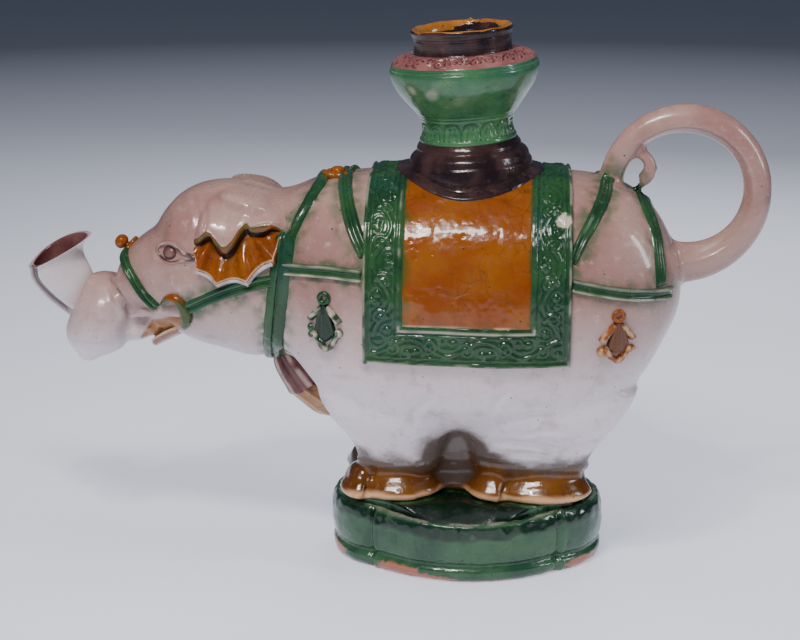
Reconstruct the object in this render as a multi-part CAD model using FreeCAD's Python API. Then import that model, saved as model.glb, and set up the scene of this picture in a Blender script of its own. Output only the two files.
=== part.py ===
import FreeCAD, Part
import math
import os
from FreeCAD import Vector

# Elephant ewer in glazed stoneware, in millimetres.
# The elephant faces -X and its left flank is on the -Y side.
# The origin is the middle of the plinth's underside, where the ewer rests.
# Every table holds shares of the size that it follows.

overrun = 1.0
column_foot_share = 0.5

# Plinth
plinth_length = 104.0
plinth_depth = 75.0
plinth_height = 24.0
plinth_wall = 4.5
plinth_floor = 4.0
plinth_seam_x_share = 0.67
plinth_seam_y_share = 0.68
rim_dip = 2.5
deck_height = 26.0
deck_edge_height = 20.5
deck_underside = 15.5
deck_margin_x = 1.5
deck_margin_y = 9.0
vent_radius = 3.0
vent_place_share = 0.45

# Rows are height, as a share of the plinth's height, and inset, as a share of its wall
plinth_profile_shares = [
    (0.000, 0.40),
    (0.080, 0.13),
    (0.190, 0.07),
    (0.235, 0.40),
    (0.290, 0.42),
    (0.330, 0.16),
    (0.550, 0.00),
    (0.780, 0.04),
    (0.920, 0.18),
    (1.000, 0.45),
]

# Torso and head are one form from rump to brow
leg_height = 25.0
torso_length = 147.5
torso_height = 96.5
torso_half_width = 42.5
torso_squareness = 2.5
neck_reach = 70.0
head_length = 61.0
head_height = 67.5
head_half_width = 27.0
body_wall = 4.5
section_points = 16

# Rows are place along, underside, top and half width
torso_shares = [
    (1.000, 0.539, 0.642, 0.212),
    (0.976, 0.420, 0.751, 0.494),
    (0.936, 0.301, 0.855, 0.682),
    (0.881, 0.181, 0.933, 0.824),
    (0.814, 0.093, 0.976, 0.918),
    (0.719, 0.026, 0.995, 0.976),
    (0.610, 0.005, 0.999, 1.000),
    (0.475, 0.000, 1.000, 1.000),
    (0.339, 0.005, 0.998, 0.988),
    (0.217, 0.026, 0.993, 0.941),
    (0.136, 0.083, 0.977, 0.859),
    (0.068, 0.171, 0.948, 0.753),
    (0.000, 0.254, 0.917, 0.635),
]
head_shares = [
    (0.131, 0.022, 0.970, 0.981),
    (0.295, 0.052, 0.997, 0.963),
    (0.459, 0.089, 0.982, 0.944),
    (0.590, 0.141, 0.933, 0.889),
    (0.721, 0.200, 0.852, 0.778),
    (0.836, 0.244, 0.751, 0.648),
    (0.934, 0.267, 0.622, 0.537),
    (1.000, 0.267, 0.519, 0.444),
]
head_drop_share = 0.254

# Trunk: a bulb where it folds, and the pouring cup
bulb_height = 35.0
bulb_length = 24.2
bulb_half_depth = 11.5
bulb_reach = 20.8
bulb_drop = 3.9
bulb_lean = 5.0
bulb_wall = 3.4
cup_length = 24.0
cup_rise = 15.5
cup_wall = 2.0
cup_tilt = 11.0
throat_radius = 3.4
throat_length = 27.0
throat_start_share = 0.75
throat_height_share = 0.387
bulb_hollow_first = 3
bulb_hollow_last = 8

# Rows are height, front, back and half depth
bulb_shares = [
    (0.000, 0.235, 0.330, 0.100),
    (0.040, 0.170, 0.430, 0.290),
    (0.126, 0.100, 0.700, 0.620),
    (0.240, 0.033, 0.920, 0.880),
    (0.354, 0.000, 0.965, 0.980),
    (0.526, 0.045, 1.000, 1.000),
    (0.697, 0.170, 0.990, 0.900),
    (0.811, 0.300, 0.925, 0.740),
    (0.926, 0.372, 0.800, 0.480),
    (1.000, 0.400, 0.600, 0.180),
]

# Rows are front x, front z, back x, back z and half depth
cup_shares = [
    (0.200, 0.000, 0.658, 0.500, 0.333),
    (-0.050, 0.025, 0.383, 0.750, 0.375),
    (-0.350, 0.308, 0.312, 0.883, 0.417),
    (-0.520, 0.562, 0.308, 1.083, 0.470),
    (-0.558, 0.733, 0.371, 1.292, 0.517),
]

# Jaw, tusks and mouth corner
jaw_length = 20.0
jaw_half_width = 13.0
jaw_place_share = 0.52
tusk_length = 24.0
tusk_radius = 2.9
tusk_place_share = 0.52
tusk_height_share = 0.31
mouth_ring_radius = 6.4
mouth_ring_width = 2.6
mouth_ring_lift = 2.6
mouth_ring_place_share = 0.615
mouth_ring_height_share = 0.335

# Rows are place along, side, rise and thickness
tusk_shares = [
    (0.000, 0.720, 0.000, 1.000),
    (0.500, 0.630, 0.020, 0.900),
    (1.000, 0.470, -0.060, 0.250),
]

# Rows are place along, underside, top and half width
jaw_shares = [
    (0.000, 0.275, 0.725, 1.000),
    (0.400, 0.375, 0.660, 0.780),
    (0.750, 0.310, 0.550, 0.560),
    (1.000, 0.225, 0.375, 0.300),
]

# Face and ears
eye_radius = 3.2
eye_sink = 1.4
eye_place_share = 0.62
eye_height_share = 0.667
knob_place_share = 0.945
knob_height_share = 0.62
knob_rise_angle = 44.0
knob_radius = 3.3
knob_disc_radius = 4.8
knob_disc_thickness = 1.6
knob_reach = 4.4
ear_fold_lift = 3.4
ear_frill_lift = 4.4

# Rows are x and z
ear_fold_shares = [
    (0.405, 0.910),
    (0.395, 0.780),
    (0.330, 0.745),
    (0.274, 0.700),
    (0.225, 0.770),
    (0.165, 0.815),
    (0.105, 0.765),
    (0.045, 0.760),
    (-0.045, 0.800),
    (-0.044, 0.883),
    (0.061, 0.965),
    (0.202, 0.985),
    (0.323, 0.975),
]
ear_frill_shares = [
    (0.487, 0.711),
    (0.470, 0.585),
    (0.405, 0.590),
    (0.328, 0.505),
    (0.234, 0.552),
    (0.134, 0.521),
    (0.067, 0.604),
    (-0.023, 0.653),
    (-0.010, 0.726),
    (-0.059, 0.812),
    (0.060, 0.900),
    (0.350, 0.900),
]

# Harness
strap_lift = 1.9
strap_width = 4.4
narrow_strap_width = 3.6
double_strap_width = 5.4
collar_width = 6.4
noseband_width = 3.4

# Rows are x and z along each strap's middle
noseband_shares = [(0.975, 0.660), (0.735, 0.345)]
cheek_strap_shares = [(0.515, 0.375), (0.030, 0.535)]
collar_shares = [(0.033, 0.800), (-0.014, 0.240)]
front_strap_shares = [(0.130, 1.020), (0.093, 0.935), (0.064, 0.859), (0.041, 0.780)]
rear_strap_shares = [(0.160, 1.020), (0.181, 0.927), (0.202, 0.851), (0.230, 0.775)]
breast_strap_shares = [(0.035, 0.681), (0.226, 0.686)]
crupper_shares = [(0.725, 0.665), (0.851, 0.634), (1.020, 0.606)]
croup_strap_shares = [(0.832, 1.010), (0.776, 0.915), (0.725, 0.800)]
thigh_strap_shares = [(0.865, 1.010), (0.904, 0.916), (0.929, 0.807), (0.938, 0.660)]

# Nape rosette
rosette_place_share = 0.146
rosette_seat_share = 0.94
rosette_petals = 6
rosette_ring = 3.1
rosette_petal_radius = 2.3
rosette_height = 2.6

# Hanging ornaments
pendant_height = 19.0
pendant_lift = 2.4
pendant_top_share = 0.587
pendant_place_shares = (0.136, 0.838)

# Rows are x and z of the pendant's panel, from its top, in shares of its height
pendant_panel_shares = [
    (-0.08, -0.20),
    (0.08, -0.20),
    (0.24, -0.76),
    (0.12, -0.86),
    (0.02, -1.00),
    (-0.10, -0.88),
    (-0.25, -0.74),
]
pendant_leaf_shares = [(0.12, -0.24), (0.36, -0.60), (0.31, -0.66), (0.10, -0.42)]
pendant_bead_x_share = 0.31
pendant_bead_z_share = 0.78
pendant_bead_radius_share = 0.095
pendant_ring_radius_share = 0.13
pendant_hole_radius_share = 0.05

bell_place_share = 0.040
bell_height_share = 0.235
bell_half_length = 8.3
bell_half_width = 8.5
bell_half_height = 9.7
tassel_place_share = 0.085
tassel_height_share = 0.100
tassel_half_length = 10.5
tassel_half_width = 7.0
tassel_half_height = 6.7

# Saddle cloth
cloth_front_share = 0.228
cloth_back_share = 0.725
cloth_hem_share = 0.366
cloth_border = 14.0
cloth_lift = 1.9
cloth_bead_lift = 2.7
cloth_bead_width = 1.6
panel_lift = 1.6

# Vase on the back
vase_lean = 4.0
vase_height = 51.5
vase_radius = 27.0
vase_wall = 4.2
saddle_radius = 27.2
saddle_lift = 3.4
pedestal_bore = 13.5
back_hole_radius = 9.5
mouth_radius = 14.6

# Rows are height above the back, as a share of the vase's height, and radius, as a share of its radius
pedestal_shares = [
    (-0.160, 0.840),
    (0.060, 0.825),
    (0.098, 0.810),
    (0.108, 0.765),
    (0.140, 0.755),
    (0.150, 0.712),
    (0.188, 0.705),
    (0.214, 0.690),
]
bowl_shares = [
    (0.214, 0.700),
    (0.245, 0.695),
    (0.262, 0.665),
    (0.320, 0.663),
    (0.380, 0.692),
    (0.476, 0.800),
    (0.573, 0.930),
    (0.650, 0.988),
    (0.734, 0.996),
]
shoulder_shares = [
    (0.734, 0.996),
    (0.768, 0.968),
    (0.806, 0.868),
    (0.828, 0.725),
    (0.834, 0.640),
]
neck_shares = [
    (0.834, 0.640),
    (0.890, 0.636),
    (0.960, 0.645),
    (0.975, 0.668),
    (1.000, 0.664),
]

# Tail handle
tail_radius = 26.6
tail_height_share = 0.933
tail_half_width = 7.6
tail_start = 172.0
tail_sweep = 276.0
curl_radius = 5.0
curl_half_root = 3.0
curl_half_tip = 1.7
curl_start = -80.0
curl_sweep = 200.0
curl_sections = 7
curl_place_share = 0.885
curl_rise_share = 1.022

# Rows are place along the sweep and half thickness
tail_shares = [
    (0.00, 0.60),
    (0.08, 0.61),
    (0.17, 0.67),
    (0.27, 0.73),
    (0.38, 0.74),
    (0.49, 0.72),
    (0.60, 0.72),
    (0.70, 0.76),
    (0.80, 0.84),
    (0.90, 0.95),
    (1.00, 1.05),
]

# Legs and feet
front_leg_share = 0.200
front_leg_width = 30.0
rear_leg_share = 0.495
rear_leg_width = 43.0
leg_length = 46.0
foot_height = 12.0
toe_sink_share = 0.28
web_half_width = 12.0
web_place_share = 0.447
web_length = 25.0
web_rise = 7.0

# Rows are height, front and back along the leg's width, inner and outer side along the torso's half width
front_leg_shares = [
    (0.174, 0.000, 1.000, 0.094, 0.480),
    (0.348, -0.010, 1.030, 0.094, 0.520),
    (0.522, -0.117, 1.100, 0.082, 0.612),
    (0.740, -0.383, 1.250, 0.060, 0.730),
    (1.000, -0.520, 1.420, 0.140, 0.776),
]
rear_leg_shares = [
    (0.174, 0.000, 0.977, 0.094, 0.480),
    (0.348, -0.010, 1.000, 0.094, 0.520),
    (0.522, -0.047, 1.105, 0.082, 0.612),
    (0.740, -0.116, 1.267, 0.060, 0.741),
    (1.000, -0.163, 1.395, 0.140, 0.776),
]

# Rows are middle and half length along the leg's width, and middle and half depth along the torso's half width
front_toe_shares = [
    (0.040, 0.245, 0.285, 0.268),
    (0.510, 0.520, 0.300, 0.262),
]
rear_toe_shares = [
    (0.150, 0.205, 0.285, 0.275),
    (0.590, 0.420, 0.300, 0.270),
]

belly_height = deck_height + leg_height
back_height = belly_height + torso_height
head_bottom = belly_height + head_drop_share * torso_height
head_front = -neck_reach - head_length
reach = plinth_length + torso_length
y_axis = Vector(0, 1, 0)
z_axis = Vector(0, 0, 1)
low_left = Vector(-reach, -reach, 0)
high_left = Vector(reach, 0, 2 * reach)
low_right = Vector(-reach, 0, 0)
high_right = Vector(reach, reach, 2 * reach)


def torso_x(share):
    return share * torso_length - neck_reach


def torso_z(share):
    return belly_height + share * torso_height


def head_x(share):
    return -neck_reach - share * head_length


def head_z(share):
    return head_bottom + share * head_height


def ring(middle, across, rise, squareness=2):
    # A closed smooth curve through points of a rounded rectangle
    points = []
    for step in range(section_points):
        angle = 2 * math.pi * step / section_points
        wide = abs(math.cos(angle)) ** squareness
        tall = abs(math.sin(angle)) ** squareness
        spread = (wide + tall) ** (-1 / squareness)
        points.append(middle + across * (spread * math.cos(angle)) + rise * (spread * math.sin(angle)))
    curve = Part.BSplineCurve()
    curve.interpolate(points, PeriodicFlag=True)
    return Part.Wire([curve.toShape()])


def skin(wires):
    return Part.makeLoft(wires, True, False)


def cross_section(x, low, high, half_width, grow):
    middle = Vector(x, 0, (low + high) / 2)
    half_height = (high - low) / 2 + grow
    return ring(middle, y_axis * (half_width + grow), z_axis * half_height, torso_squareness)


def body_form(grow):
    # The whole outside of torso and head, grown or shrunk by one thickness
    wires = []
    for along, low, high, wide in torso_shares:
        x = torso_x(along) + (grow if along == 1 else 0)
        wires.append(cross_section(x, torso_z(low), torso_z(high), wide * torso_half_width, grow))
    for along, low, high, wide in head_shares:
        x = head_x(along) - (grow if along == 1 else 0)
        wires.append(cross_section(x, head_z(low), head_z(high), wide * head_half_width, grow))
    return skin(wires)


def box_between(low, high):
    size = high.sub(low)
    return Part.makeBox(size.x, size.y, size.z, low)


outside = body_form(0)
left_side = box_between(low_left, high_left)
right_side = box_between(low_right, high_right)
coats = {}
left_coats = {}


def coat(lift):
    # A layer of clay of one thickness over torso and head
    if lift not in coats:
        coats[lift] = body_form(lift).cut(outside)
    return coats[lift]


def left_coat(lift):
    if lift not in left_coats:
        left_coats[lift] = coat(lift).common(left_side)
    return left_coats[lift]


def mirrored(left):
    return left.mirror(Vector(0, 0, 0), y_axis)


def save(name, shape):
    solids = shape.Solids
    result = solids[0] if len(solids) == 1 else Part.makeCompound(solids)
    result.exportStep("parts/" + name + ".step")


def save_pair(name, left):
    save("left_" + name, left)
    save("right_" + name, mirrored(left))


def side_prism(points, depth, start=0):
    # A prism of an outline in X and Z, pushed out to the left flank
    corners = [Vector(x, start, z) for x, z in points]
    face = Part.Face(Part.makePolygon(corners + corners[:1]))
    return face.extrude(Vector(0, -depth, 0))


def strip(points, width, depth, start=0):
    # Straight runs of a strap's width, with round joints where it turns
    pieces = []
    for begin, end in zip(points, points[1:]):
        length = math.hypot(end[0] - begin[0], end[1] - begin[1])
        side_x = (end[1] - begin[1]) / length * width / 2
        side_z = (begin[0] - end[0]) / length * width / 2
        corners = [
            (begin[0] + side_x, begin[1] + side_z),
            (end[0] + side_x, end[1] + side_z),
            (end[0] - side_x, end[1] - side_z),
            (begin[0] - side_x, begin[1] - side_z),
        ]
        pieces.append(side_prism(corners, depth, start))
    for x, z in points[1:-1]:
        pieces.append(Part.makeCylinder(width / 2, depth, Vector(x, start, z), -y_axis))
    if len(pieces) == 1:
        return pieces[0]
    return pieces[0].multiFuse(pieces[1:])


def ball(middle, half_x, half_y, half_z):
    matrix = FreeCAD.Matrix()
    matrix.scale(half_x, half_y, half_z)
    matrix.move(middle)
    return Part.makeSphere(1).transformGeometry(matrix)


def turned(rows, bore, smooth):
    # A turned wall about the vase's axis, from its outer profile and its bore
    outer = [Vector(radius * vase_radius, 0, back_height + height * vase_height) for height, radius in rows]
    if smooth:
        curve = Part.BSplineCurve()
        curve.interpolate(outer)
        edges = [curve.toShape()]
    else:
        edges = Part.makePolygon(outer).Edges
    if bore:
        inner = [Vector(bore, 0, outer[-1].z), Vector(bore, 0, outer[0].z)]
        edges += Part.makePolygon([outer[-1]] + inner + [outer[0]]).Edges
    else:
        inner = [point - Vector(vase_wall, 0, 0) for point in outer]
        curve = Part.BSplineCurve()
        curve.interpolate(inner)
        edges.append(Part.makeLine(outer[-1], inner[-1]))
        edges.append(curve.toShape())
        edges.append(Part.makeLine(inner[0], outer[0]))
    face = Part.Face(Part.Wire(Part.__sortEdges__(edges)))
    solid = face.revolve(Vector(0, 0, 0), z_axis, 360)
    solid.rotate(Vector(0, 0, back_height), y_axis, -vase_lean)
    return solid


def lobed_outline(half_length, half_depth, inset, z):
    # Four arcs that meet at the plinth's seams
    seam_x = plinth_seam_x_share * half_length - inset
    seam_y = plinth_seam_y_share * half_depth - inset
    end_x = half_length - inset
    end_y = half_depth - inset
    corners = [Vector(-seam_x, -seam_y, z), Vector(seam_x, -seam_y, z)]
    corners += [Vector(seam_x, seam_y, z), Vector(-seam_x, seam_y, z)]
    bulges = [Vector(0, -end_y, z), Vector(end_x, 0, z), Vector(0, end_y, z), Vector(-end_x, 0, z)]
    edges = []
    for index, bulge in enumerate(bulges):
        edges.append(Part.Arc(corners[index], bulge, corners[(index + 1) % len(corners)]).toShape())
    return Part.Wire(edges)


def make_plinth():
    half_length = plinth_length / 2
    half_depth = plinth_depth / 2
    wires = []
    for height, inset in plinth_profile_shares:
        wires.append(lobed_outline(half_length, half_depth, inset * plinth_wall, height * plinth_height))
    outer = Part.makeLoft(wires, True, True)
    hollow = Part.Face(lobed_outline(half_length, half_depth, plinth_wall, 0))
    hollow = hollow.extrude(z_axis * (plinth_height + overrun))
    half_span = plinth_seam_x_share * half_length
    dip_radius = (half_span ** 2 + rim_dip ** 2) / (2 * rim_dip)
    dip_middle = Vector(0, -plinth_depth, plinth_height - rim_dip + dip_radius)
    dip = Part.makeCylinder(dip_radius, 2 * plinth_depth, dip_middle, y_axis)
    save("plinth_wall", outer.cut(hollow).cut(dip))

    floor = Part.Face(lobed_outline(half_length, half_depth, plinth_wall, 0)).extrude(z_axis * plinth_floor)
    vent_x = vent_place_share * half_length
    vent = Part.makeCylinder(vent_radius, plinth_floor, Vector(vent_x, 0, 0), z_axis)
    save("plinth_floor", floor.cut(vent))

    slab = Part.Face(lobed_outline(half_length, half_depth, plinth_wall, deck_underside))
    slab = slab.extrude(z_axis * (deck_edge_height - deck_underside))
    foot_line = lobed_outline(half_length, half_depth, plinth_wall, deck_edge_height)
    top_x = half_length - plinth_wall - deck_margin_x
    top_y = half_depth - plinth_wall - deck_margin_y
    mound = Part.makeLoft([foot_line, lobed_outline(top_x, top_y, 0, deck_height)], True, True)
    save("plinth_deck", slab.fuse(mound))


def bulb_form(grow):
    left = head_front - bulb_reach
    bottom = head_bottom - bulb_drop
    wires = []
    rows = bulb_shares if grow == 0 else bulb_shares[bulb_hollow_first:bulb_hollow_last]
    for height, front, back, depth in rows:
        half_length = (back - front) / 2 * bulb_length + grow
        x = left + (front + back) / 2 * bulb_length
        middle = Vector(x, -bulb_lean * depth, bottom + height * bulb_height)
        wires.append(ring(middle, y_axis * (depth * bulb_half_depth + grow), Vector(half_length, 0, 0)))
    return skin(wires)


def cup_form(grow):
    left = head_front - bulb_reach
    bottom = head_bottom + cup_rise
    wires = []
    last = cup_shares[-1]
    for row in cup_shares:
        front_x, front_z, back_x, back_z, depth = row
        front = Vector(left + front_x * cup_length, 0, bottom + front_z * cup_length)
        back = Vector(left + back_x * cup_length, 0, bottom + back_z * cup_length)
        half = (back - front) * 0.5
        rise = half * ((half.Length + grow) / half.Length)
        half_depth = depth * cup_length + grow
        tilt = math.radians(cup_tilt) if row is last else 0
        normal = Vector(-half.z, 0, half.x).normalize()
        across = y_axis * (half_depth * math.cos(tilt)) + normal * (half_depth * math.sin(tilt))
        wires.append(ring((front + back) * 0.5, across, rise))
    return skin(wires)


def round_column(radius):
    return Part.makeCylinder(radius, reach, Vector(0, 0, torso_z(column_foot_share)), z_axis)


def make_body_and_trunk():
    hollow = body_form(-body_wall)
    bore_start = Vector(head_x(throat_start_share), 0, head_z(throat_height_share))
    bore = Part.makeCylinder(throat_radius, throat_length, bore_start, Vector(-1, 0, 0))
    shell = outside.cut(hollow).cut(round_column(back_hole_radius))
    split_x = torso_x(0)
    torso = shell.common(box_between(Vector(split_x, -reach, 0), high_right))
    save("body_left_half", torso.common(left_side))
    save("body_right_half", torso.common(right_side))
    head = shell.common(box_between(low_left, Vector(split_x, reach, 2 * reach)))
    save("head_shell", head.cut(bore))

    bulb = bulb_form(0).cut(outside)
    passage = cup_form(-cup_wall)
    save("trunk_bulb", bulb.cut(bulb_form(-bulb_wall)).cut(passage).cut(bore))
    save("trunk_cup", cup_form(0).cut(passage).cut(bulb_form(0)).cut(outside))
    return bulb


def make_mouth(bulb):
    jaw_start = head_x(jaw_place_share)
    wires = []
    for along, low, high, wide in jaw_shares:
        x = jaw_start - along * jaw_length
        low_z = head_bottom + low * jaw_length
        high_z = head_bottom + high * jaw_length
        middle = Vector(x, 0, (low_z + high_z) / 2)
        wires.append(ring(middle, y_axis * (wide * jaw_half_width), z_axis * ((high_z - low_z) / 2)))
    jaw = skin(wires).cut(outside).cut(bulb)
    save("lower_jaw", jaw)

    tusk_x = head_x(tusk_place_share)
    tusk_z = head_z(tusk_height_share)
    wires = []
    for along, side, rise, thick in tusk_shares:
        middle = Vector(tusk_x - along * tusk_length, -side * head_half_width, tusk_z + rise * tusk_length)
        wires.append(ring(middle, y_axis * (thick * tusk_radius), z_axis * (thick * tusk_radius)))
    tusk = skin(wires).cut(outside).cut(bulb).cut(jaw)

    ring_middle = Vector(head_x(mouth_ring_place_share), 0, head_z(mouth_ring_height_share))
    half_width = mouth_ring_width / 2
    mouth_ring = Part.makeCylinder(mouth_ring_radius + half_width, reach, ring_middle, -y_axis)
    hole = Part.makeCylinder(mouth_ring_radius - half_width, reach, ring_middle, -y_axis)
    behind = box_between(ring_middle + Vector(0, -reach, -reach), ring_middle + Vector(reach, 0, reach))
    mouth_ring = mouth_ring.cut(hole).common(behind).common(left_coat(mouth_ring_lift)).cut(tusk)
    save_pair("tusk", tusk)
    save_pair("bit_ring", mouth_ring)
    return mouth_ring


def on_head(shares):
    return [(head_x(x), head_z(z)) for x, z in shares]


def on_torso(shares):
    return [(torso_x(x), torso_z(z)) for x, z in shares]


def flank_point(x, z):
    # Where a line along Y meets the left flank
    line = Part.makeLine(Vector(x, -reach, z), Vector(x, 0, z))
    return Vector(x, line.common(outside).BoundBox.YMin, z)


def make_face():
    eye_middle = flank_point(head_x(eye_place_share), head_z(eye_height_share)) + y_axis * eye_sink
    eye = Part.makeSphere(eye_radius, eye_middle).cut(outside)
    save("eyes", Part.makeCompound([eye, mirrored(eye)]))

    knob_seat = Vector(head_x(knob_place_share), 0, head_z(knob_height_share))
    rise_angle = math.radians(knob_rise_angle)
    knob_axis = Vector(-math.cos(rise_angle), 0, math.sin(rise_angle))
    disc_seat = knob_seat - knob_axis * knob_disc_thickness
    disc = Part.makeCylinder(knob_disc_radius, 2 * knob_disc_thickness, disc_seat, knob_axis)
    stalk = Part.makeCylinder(knob_radius / 2, knob_reach, knob_seat, knob_axis)
    head = Part.makeSphere(knob_radius, knob_seat + knob_axis * knob_reach)
    knob = disc.fuse(stalk).fuse(head).cut(outside)
    save("brow_knob", knob)

    fold = side_prism(on_head(ear_fold_shares), reach).common(left_coat(ear_fold_lift))
    frill = side_prism(on_head(ear_frill_shares), reach).common(left_coat(ear_frill_lift)).cut(fold)
    save_pair("ear_fold", fold)
    save_pair("ear_frill", frill)
    return knob, fold.fuse(frill)


def rosette_form():
    seat = Vector(torso_x(rosette_place_share), 0, torso_z(rosette_seat_share))
    height = torso_z(1) - seat.z + rosette_height
    petals = []
    for index in range(rosette_petals):
        angle = 2 * math.pi * index / rosette_petals
        shift = Vector(rosette_ring * math.cos(angle), rosette_ring * math.sin(angle), 0)
        petals.append(Part.makeCylinder(rosette_petal_radius, height, seat + shift, z_axis))
    return petals[0].multiFuse(petals[1:]).cut(outside)


def full_strap(points, width):
    return strip(points, width, 2 * reach, reach).common(coat(strap_lift))


def side_strap(points, width):
    return strip(points, width, reach).common(left_coat(strap_lift))


def main_piece(shape):
    # Drops the thin slivers that a cut leaves beside a strap
    return max(shape.Solids, key=lambda solid: solid.Volume)


def make_harness(knob, ears, mouth_ring, tail):
    rosette = rosette_form()
    save("nape_rosette", rosette)

    noseband = full_strap(on_head(noseband_shares), noseband_width)
    save("noseband", noseband.cut(knob).cut(mouth_ring).cut(mirrored(mouth_ring)))
    collar = full_strap(on_torso(collar_shares), collar_width)
    collar = collar.cut(ears).cut(mirrored(ears))
    save("neck_band", collar)

    cheek = side_strap(on_head(cheek_strap_shares), strap_width)
    save_pair("cheek_strap", cheek.cut(collar).cut(ears).cut(mouth_ring))
    front = side_strap(on_torso(front_strap_shares), narrow_strap_width)
    front = front.cut(collar).cut(rosette).cut(ears)
    save_pair("shoulder_strap_front", front)
    cloth = cloth_region(0)
    rear = side_strap(on_torso(rear_strap_shares), double_strap_width)
    save_pair("shoulder_strap_rear", main_piece(rear.cut(rosette).cut(front).cut(cloth)))
    breast = side_strap(on_torso(breast_strap_shares), strap_width)
    save_pair("breast_strap", breast.cut(collar).cut(cloth))
    crupper = side_strap(on_torso(crupper_shares), strap_width).cut(cloth).cut(tail)
    save_pair("crupper_strap", crupper)
    croup = side_strap(on_torso(croup_strap_shares), strap_width).cut(cloth).cut(tail)
    save_pair("croup_strap", croup)
    thigh = side_strap(on_torso(thigh_strap_shares), narrow_strap_width)
    save_pair("thigh_strap", thigh.cut(crupper).cut(croup).cut(tail))
    return crupper, breast


def pendant_region(place):
    top = torso_z(pendant_top_share)
    size = pendant_height

    def placed(shares):
        return [(place + x * size, top + z * size) for x, z in shares]

    far_leaf = [(-x, z) for x, z in pendant_leaf_shares]
    ring_seat = Vector(place, 0, top - pendant_ring_radius_share * size)
    loop = Part.makeCylinder(pendant_ring_radius_share * size, reach, ring_seat, -y_axis)
    pieces = [side_prism(placed(pendant_leaf_shares), reach), side_prism(placed(far_leaf), reach)]
    pieces.append(side_prism(placed(pendant_panel_shares), reach))
    for side in (-1, 1):
        bead = Vector(place + side * pendant_bead_x_share * size, 0, top - pendant_bead_z_share * size)
        pieces.append(Part.makeCylinder(pendant_bead_radius_share * size, reach, bead, -y_axis))
    hole = Part.makeCylinder(pendant_hole_radius_share * size, reach, ring_seat, -y_axis)
    return loop.multiFuse(pieces).cut(hole)


def make_ornaments(crupper, breast):
    straps = breast.fuse(crupper)
    for name, share in zip(("front_pendant", "rear_pendant"), pendant_place_shares):
        pendant = pendant_region(torso_x(share)).common(left_coat(pendant_lift)).cut(straps)
        save_pair(name, pendant)

    bell_middle = Vector(torso_x(bell_place_share), 0, torso_z(bell_height_share))
    bell = ball(bell_middle, bell_half_length, bell_half_width, bell_half_height).cut(outside)
    tassel_middle = Vector(torso_x(tassel_place_share), 0, torso_z(tassel_height_share))
    tassel = ball(tassel_middle, tassel_half_length, tassel_half_width, tassel_half_height)
    save("chest_bell", bell)
    save("bell_tassel", tassel.cut(outside).cut(bell))


def cloth_region(margin):
    low = Vector(torso_x(cloth_front_share) + margin, -reach, torso_z(cloth_hem_share) + margin)
    high = Vector(torso_x(cloth_back_share) - margin, reach, 2 * reach)
    return box_between(low, high)


def make_cloth():
    disc = round_column(saddle_radius)
    whole = cloth_region(0)
    middle = cloth_region(cloth_border)
    border = whole.cut(middle).common(coat(cloth_lift)).cut(disc)
    outer_bead = whole.cut(cloth_region(cloth_bead_width))
    inner_bead = cloth_region(cloth_border - cloth_bead_width).cut(middle)
    beads = outer_bead.fuse(inner_bead).common(coat(cloth_bead_lift)).cut(disc)
    save("saddle_cloth", border.fuse(beads))
    save("saddle_panel", middle.common(coat(panel_lift)).cut(disc))
    save("vase_saddle", coat(saddle_lift).common(disc).cut(round_column(back_hole_radius)))


def make_vase():
    pedestal = turned(pedestal_shares, pedestal_bore, False).cut(body_form(saddle_lift))
    save("vase_pedestal", pedestal)
    save("vase_bowl", turned(bowl_shares, 0, True))
    save("vase_shoulder", turned(shoulder_shares, mouth_radius, True))
    save("vase_neck", turned(neck_shares, mouth_radius, False))


def swept_ring(middle, radius, angle, half):
    angle = math.radians(angle)
    outward = Vector(math.cos(angle), 0, math.sin(angle))
    return ring(middle + outward * radius, y_axis * half, outward * half)


def tail_form():
    middle = Vector(torso_x(1), 0, torso_z(tail_height_share))
    wires = []
    for share, half in tail_shares:
        angle = tail_start - share * tail_sweep
        wires.append(swept_ring(middle, tail_radius, angle, half * tail_half_width))
    return skin(wires).cut(outside)


def make_tail(tail):
    save("tail_handle", tail)
    middle = Vector(torso_x(curl_place_share), 0, torso_z(curl_rise_share))
    wires = []
    for index in range(curl_sections):
        share = index / (curl_sections - 1)
        half = curl_half_root + (curl_half_tip - curl_half_root) * share
        wires.append(swept_ring(middle, curl_radius, curl_start + share * curl_sweep, half))
    save("tail_curl", skin(wires).cut(outside).cut(tail))


def leg_form(rows, start, width):
    wires = []
    for height, front, back, inner, outer in rows:
        x = start + (front + back) / 2 * width
        y = -(inner + outer) / 2 * torso_half_width
        middle = Vector(x, y, deck_height + height * leg_length)
        across = Vector((back - front) / 2 * width, 0, 0)
        rise = y_axis * ((outer - inner) / 2 * torso_half_width)
        wires.append(ring(middle, across, rise, torso_squareness))
    return skin(wires)


def make_legs():
    wires = []
    for z in (deck_height, belly_height + web_rise):
        middle = Vector(torso_x(web_place_share), 0, z)
        wires.append(ring(middle, Vector(web_length / 2, 0, 0), y_axis * web_half_width, torso_squareness))
    web = skin(wires).cut(outside)
    ground = box_between(low_left, Vector(reach, reach, deck_height))
    pairs = [
        ("front", front_leg_shares, front_toe_shares, torso_x(front_leg_share), front_leg_width),
        ("rear", rear_leg_shares, rear_toe_shares, torso_x(rear_leg_share), rear_leg_width),
    ]
    for name, leg_rows, toe_rows, start, width in pairs:
        leg = leg_form(leg_rows, start, width).cut(outside)
        toes = []
        for middle_x, half_x, middle_y, half_y in toe_rows:
            seat_z = deck_height + toe_sink_share * foot_height
            middle = Vector(start + middle_x * width, -middle_y * torso_half_width, seat_z)
            half_z = foot_height * (1 - toe_sink_share)
            toes.append(ball(middle, half_x * width, half_y * torso_half_width, half_z))
        foot = toes[0].fuse(toes[1]).cut(ground).cut(leg)
        save_pair(name + "_leg", leg)
        save_pair(name + "_foot", foot)
        for part in (leg, foot):
            web = web.cut(part).cut(mirrored(part))
    save("belly_web", web)


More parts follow.
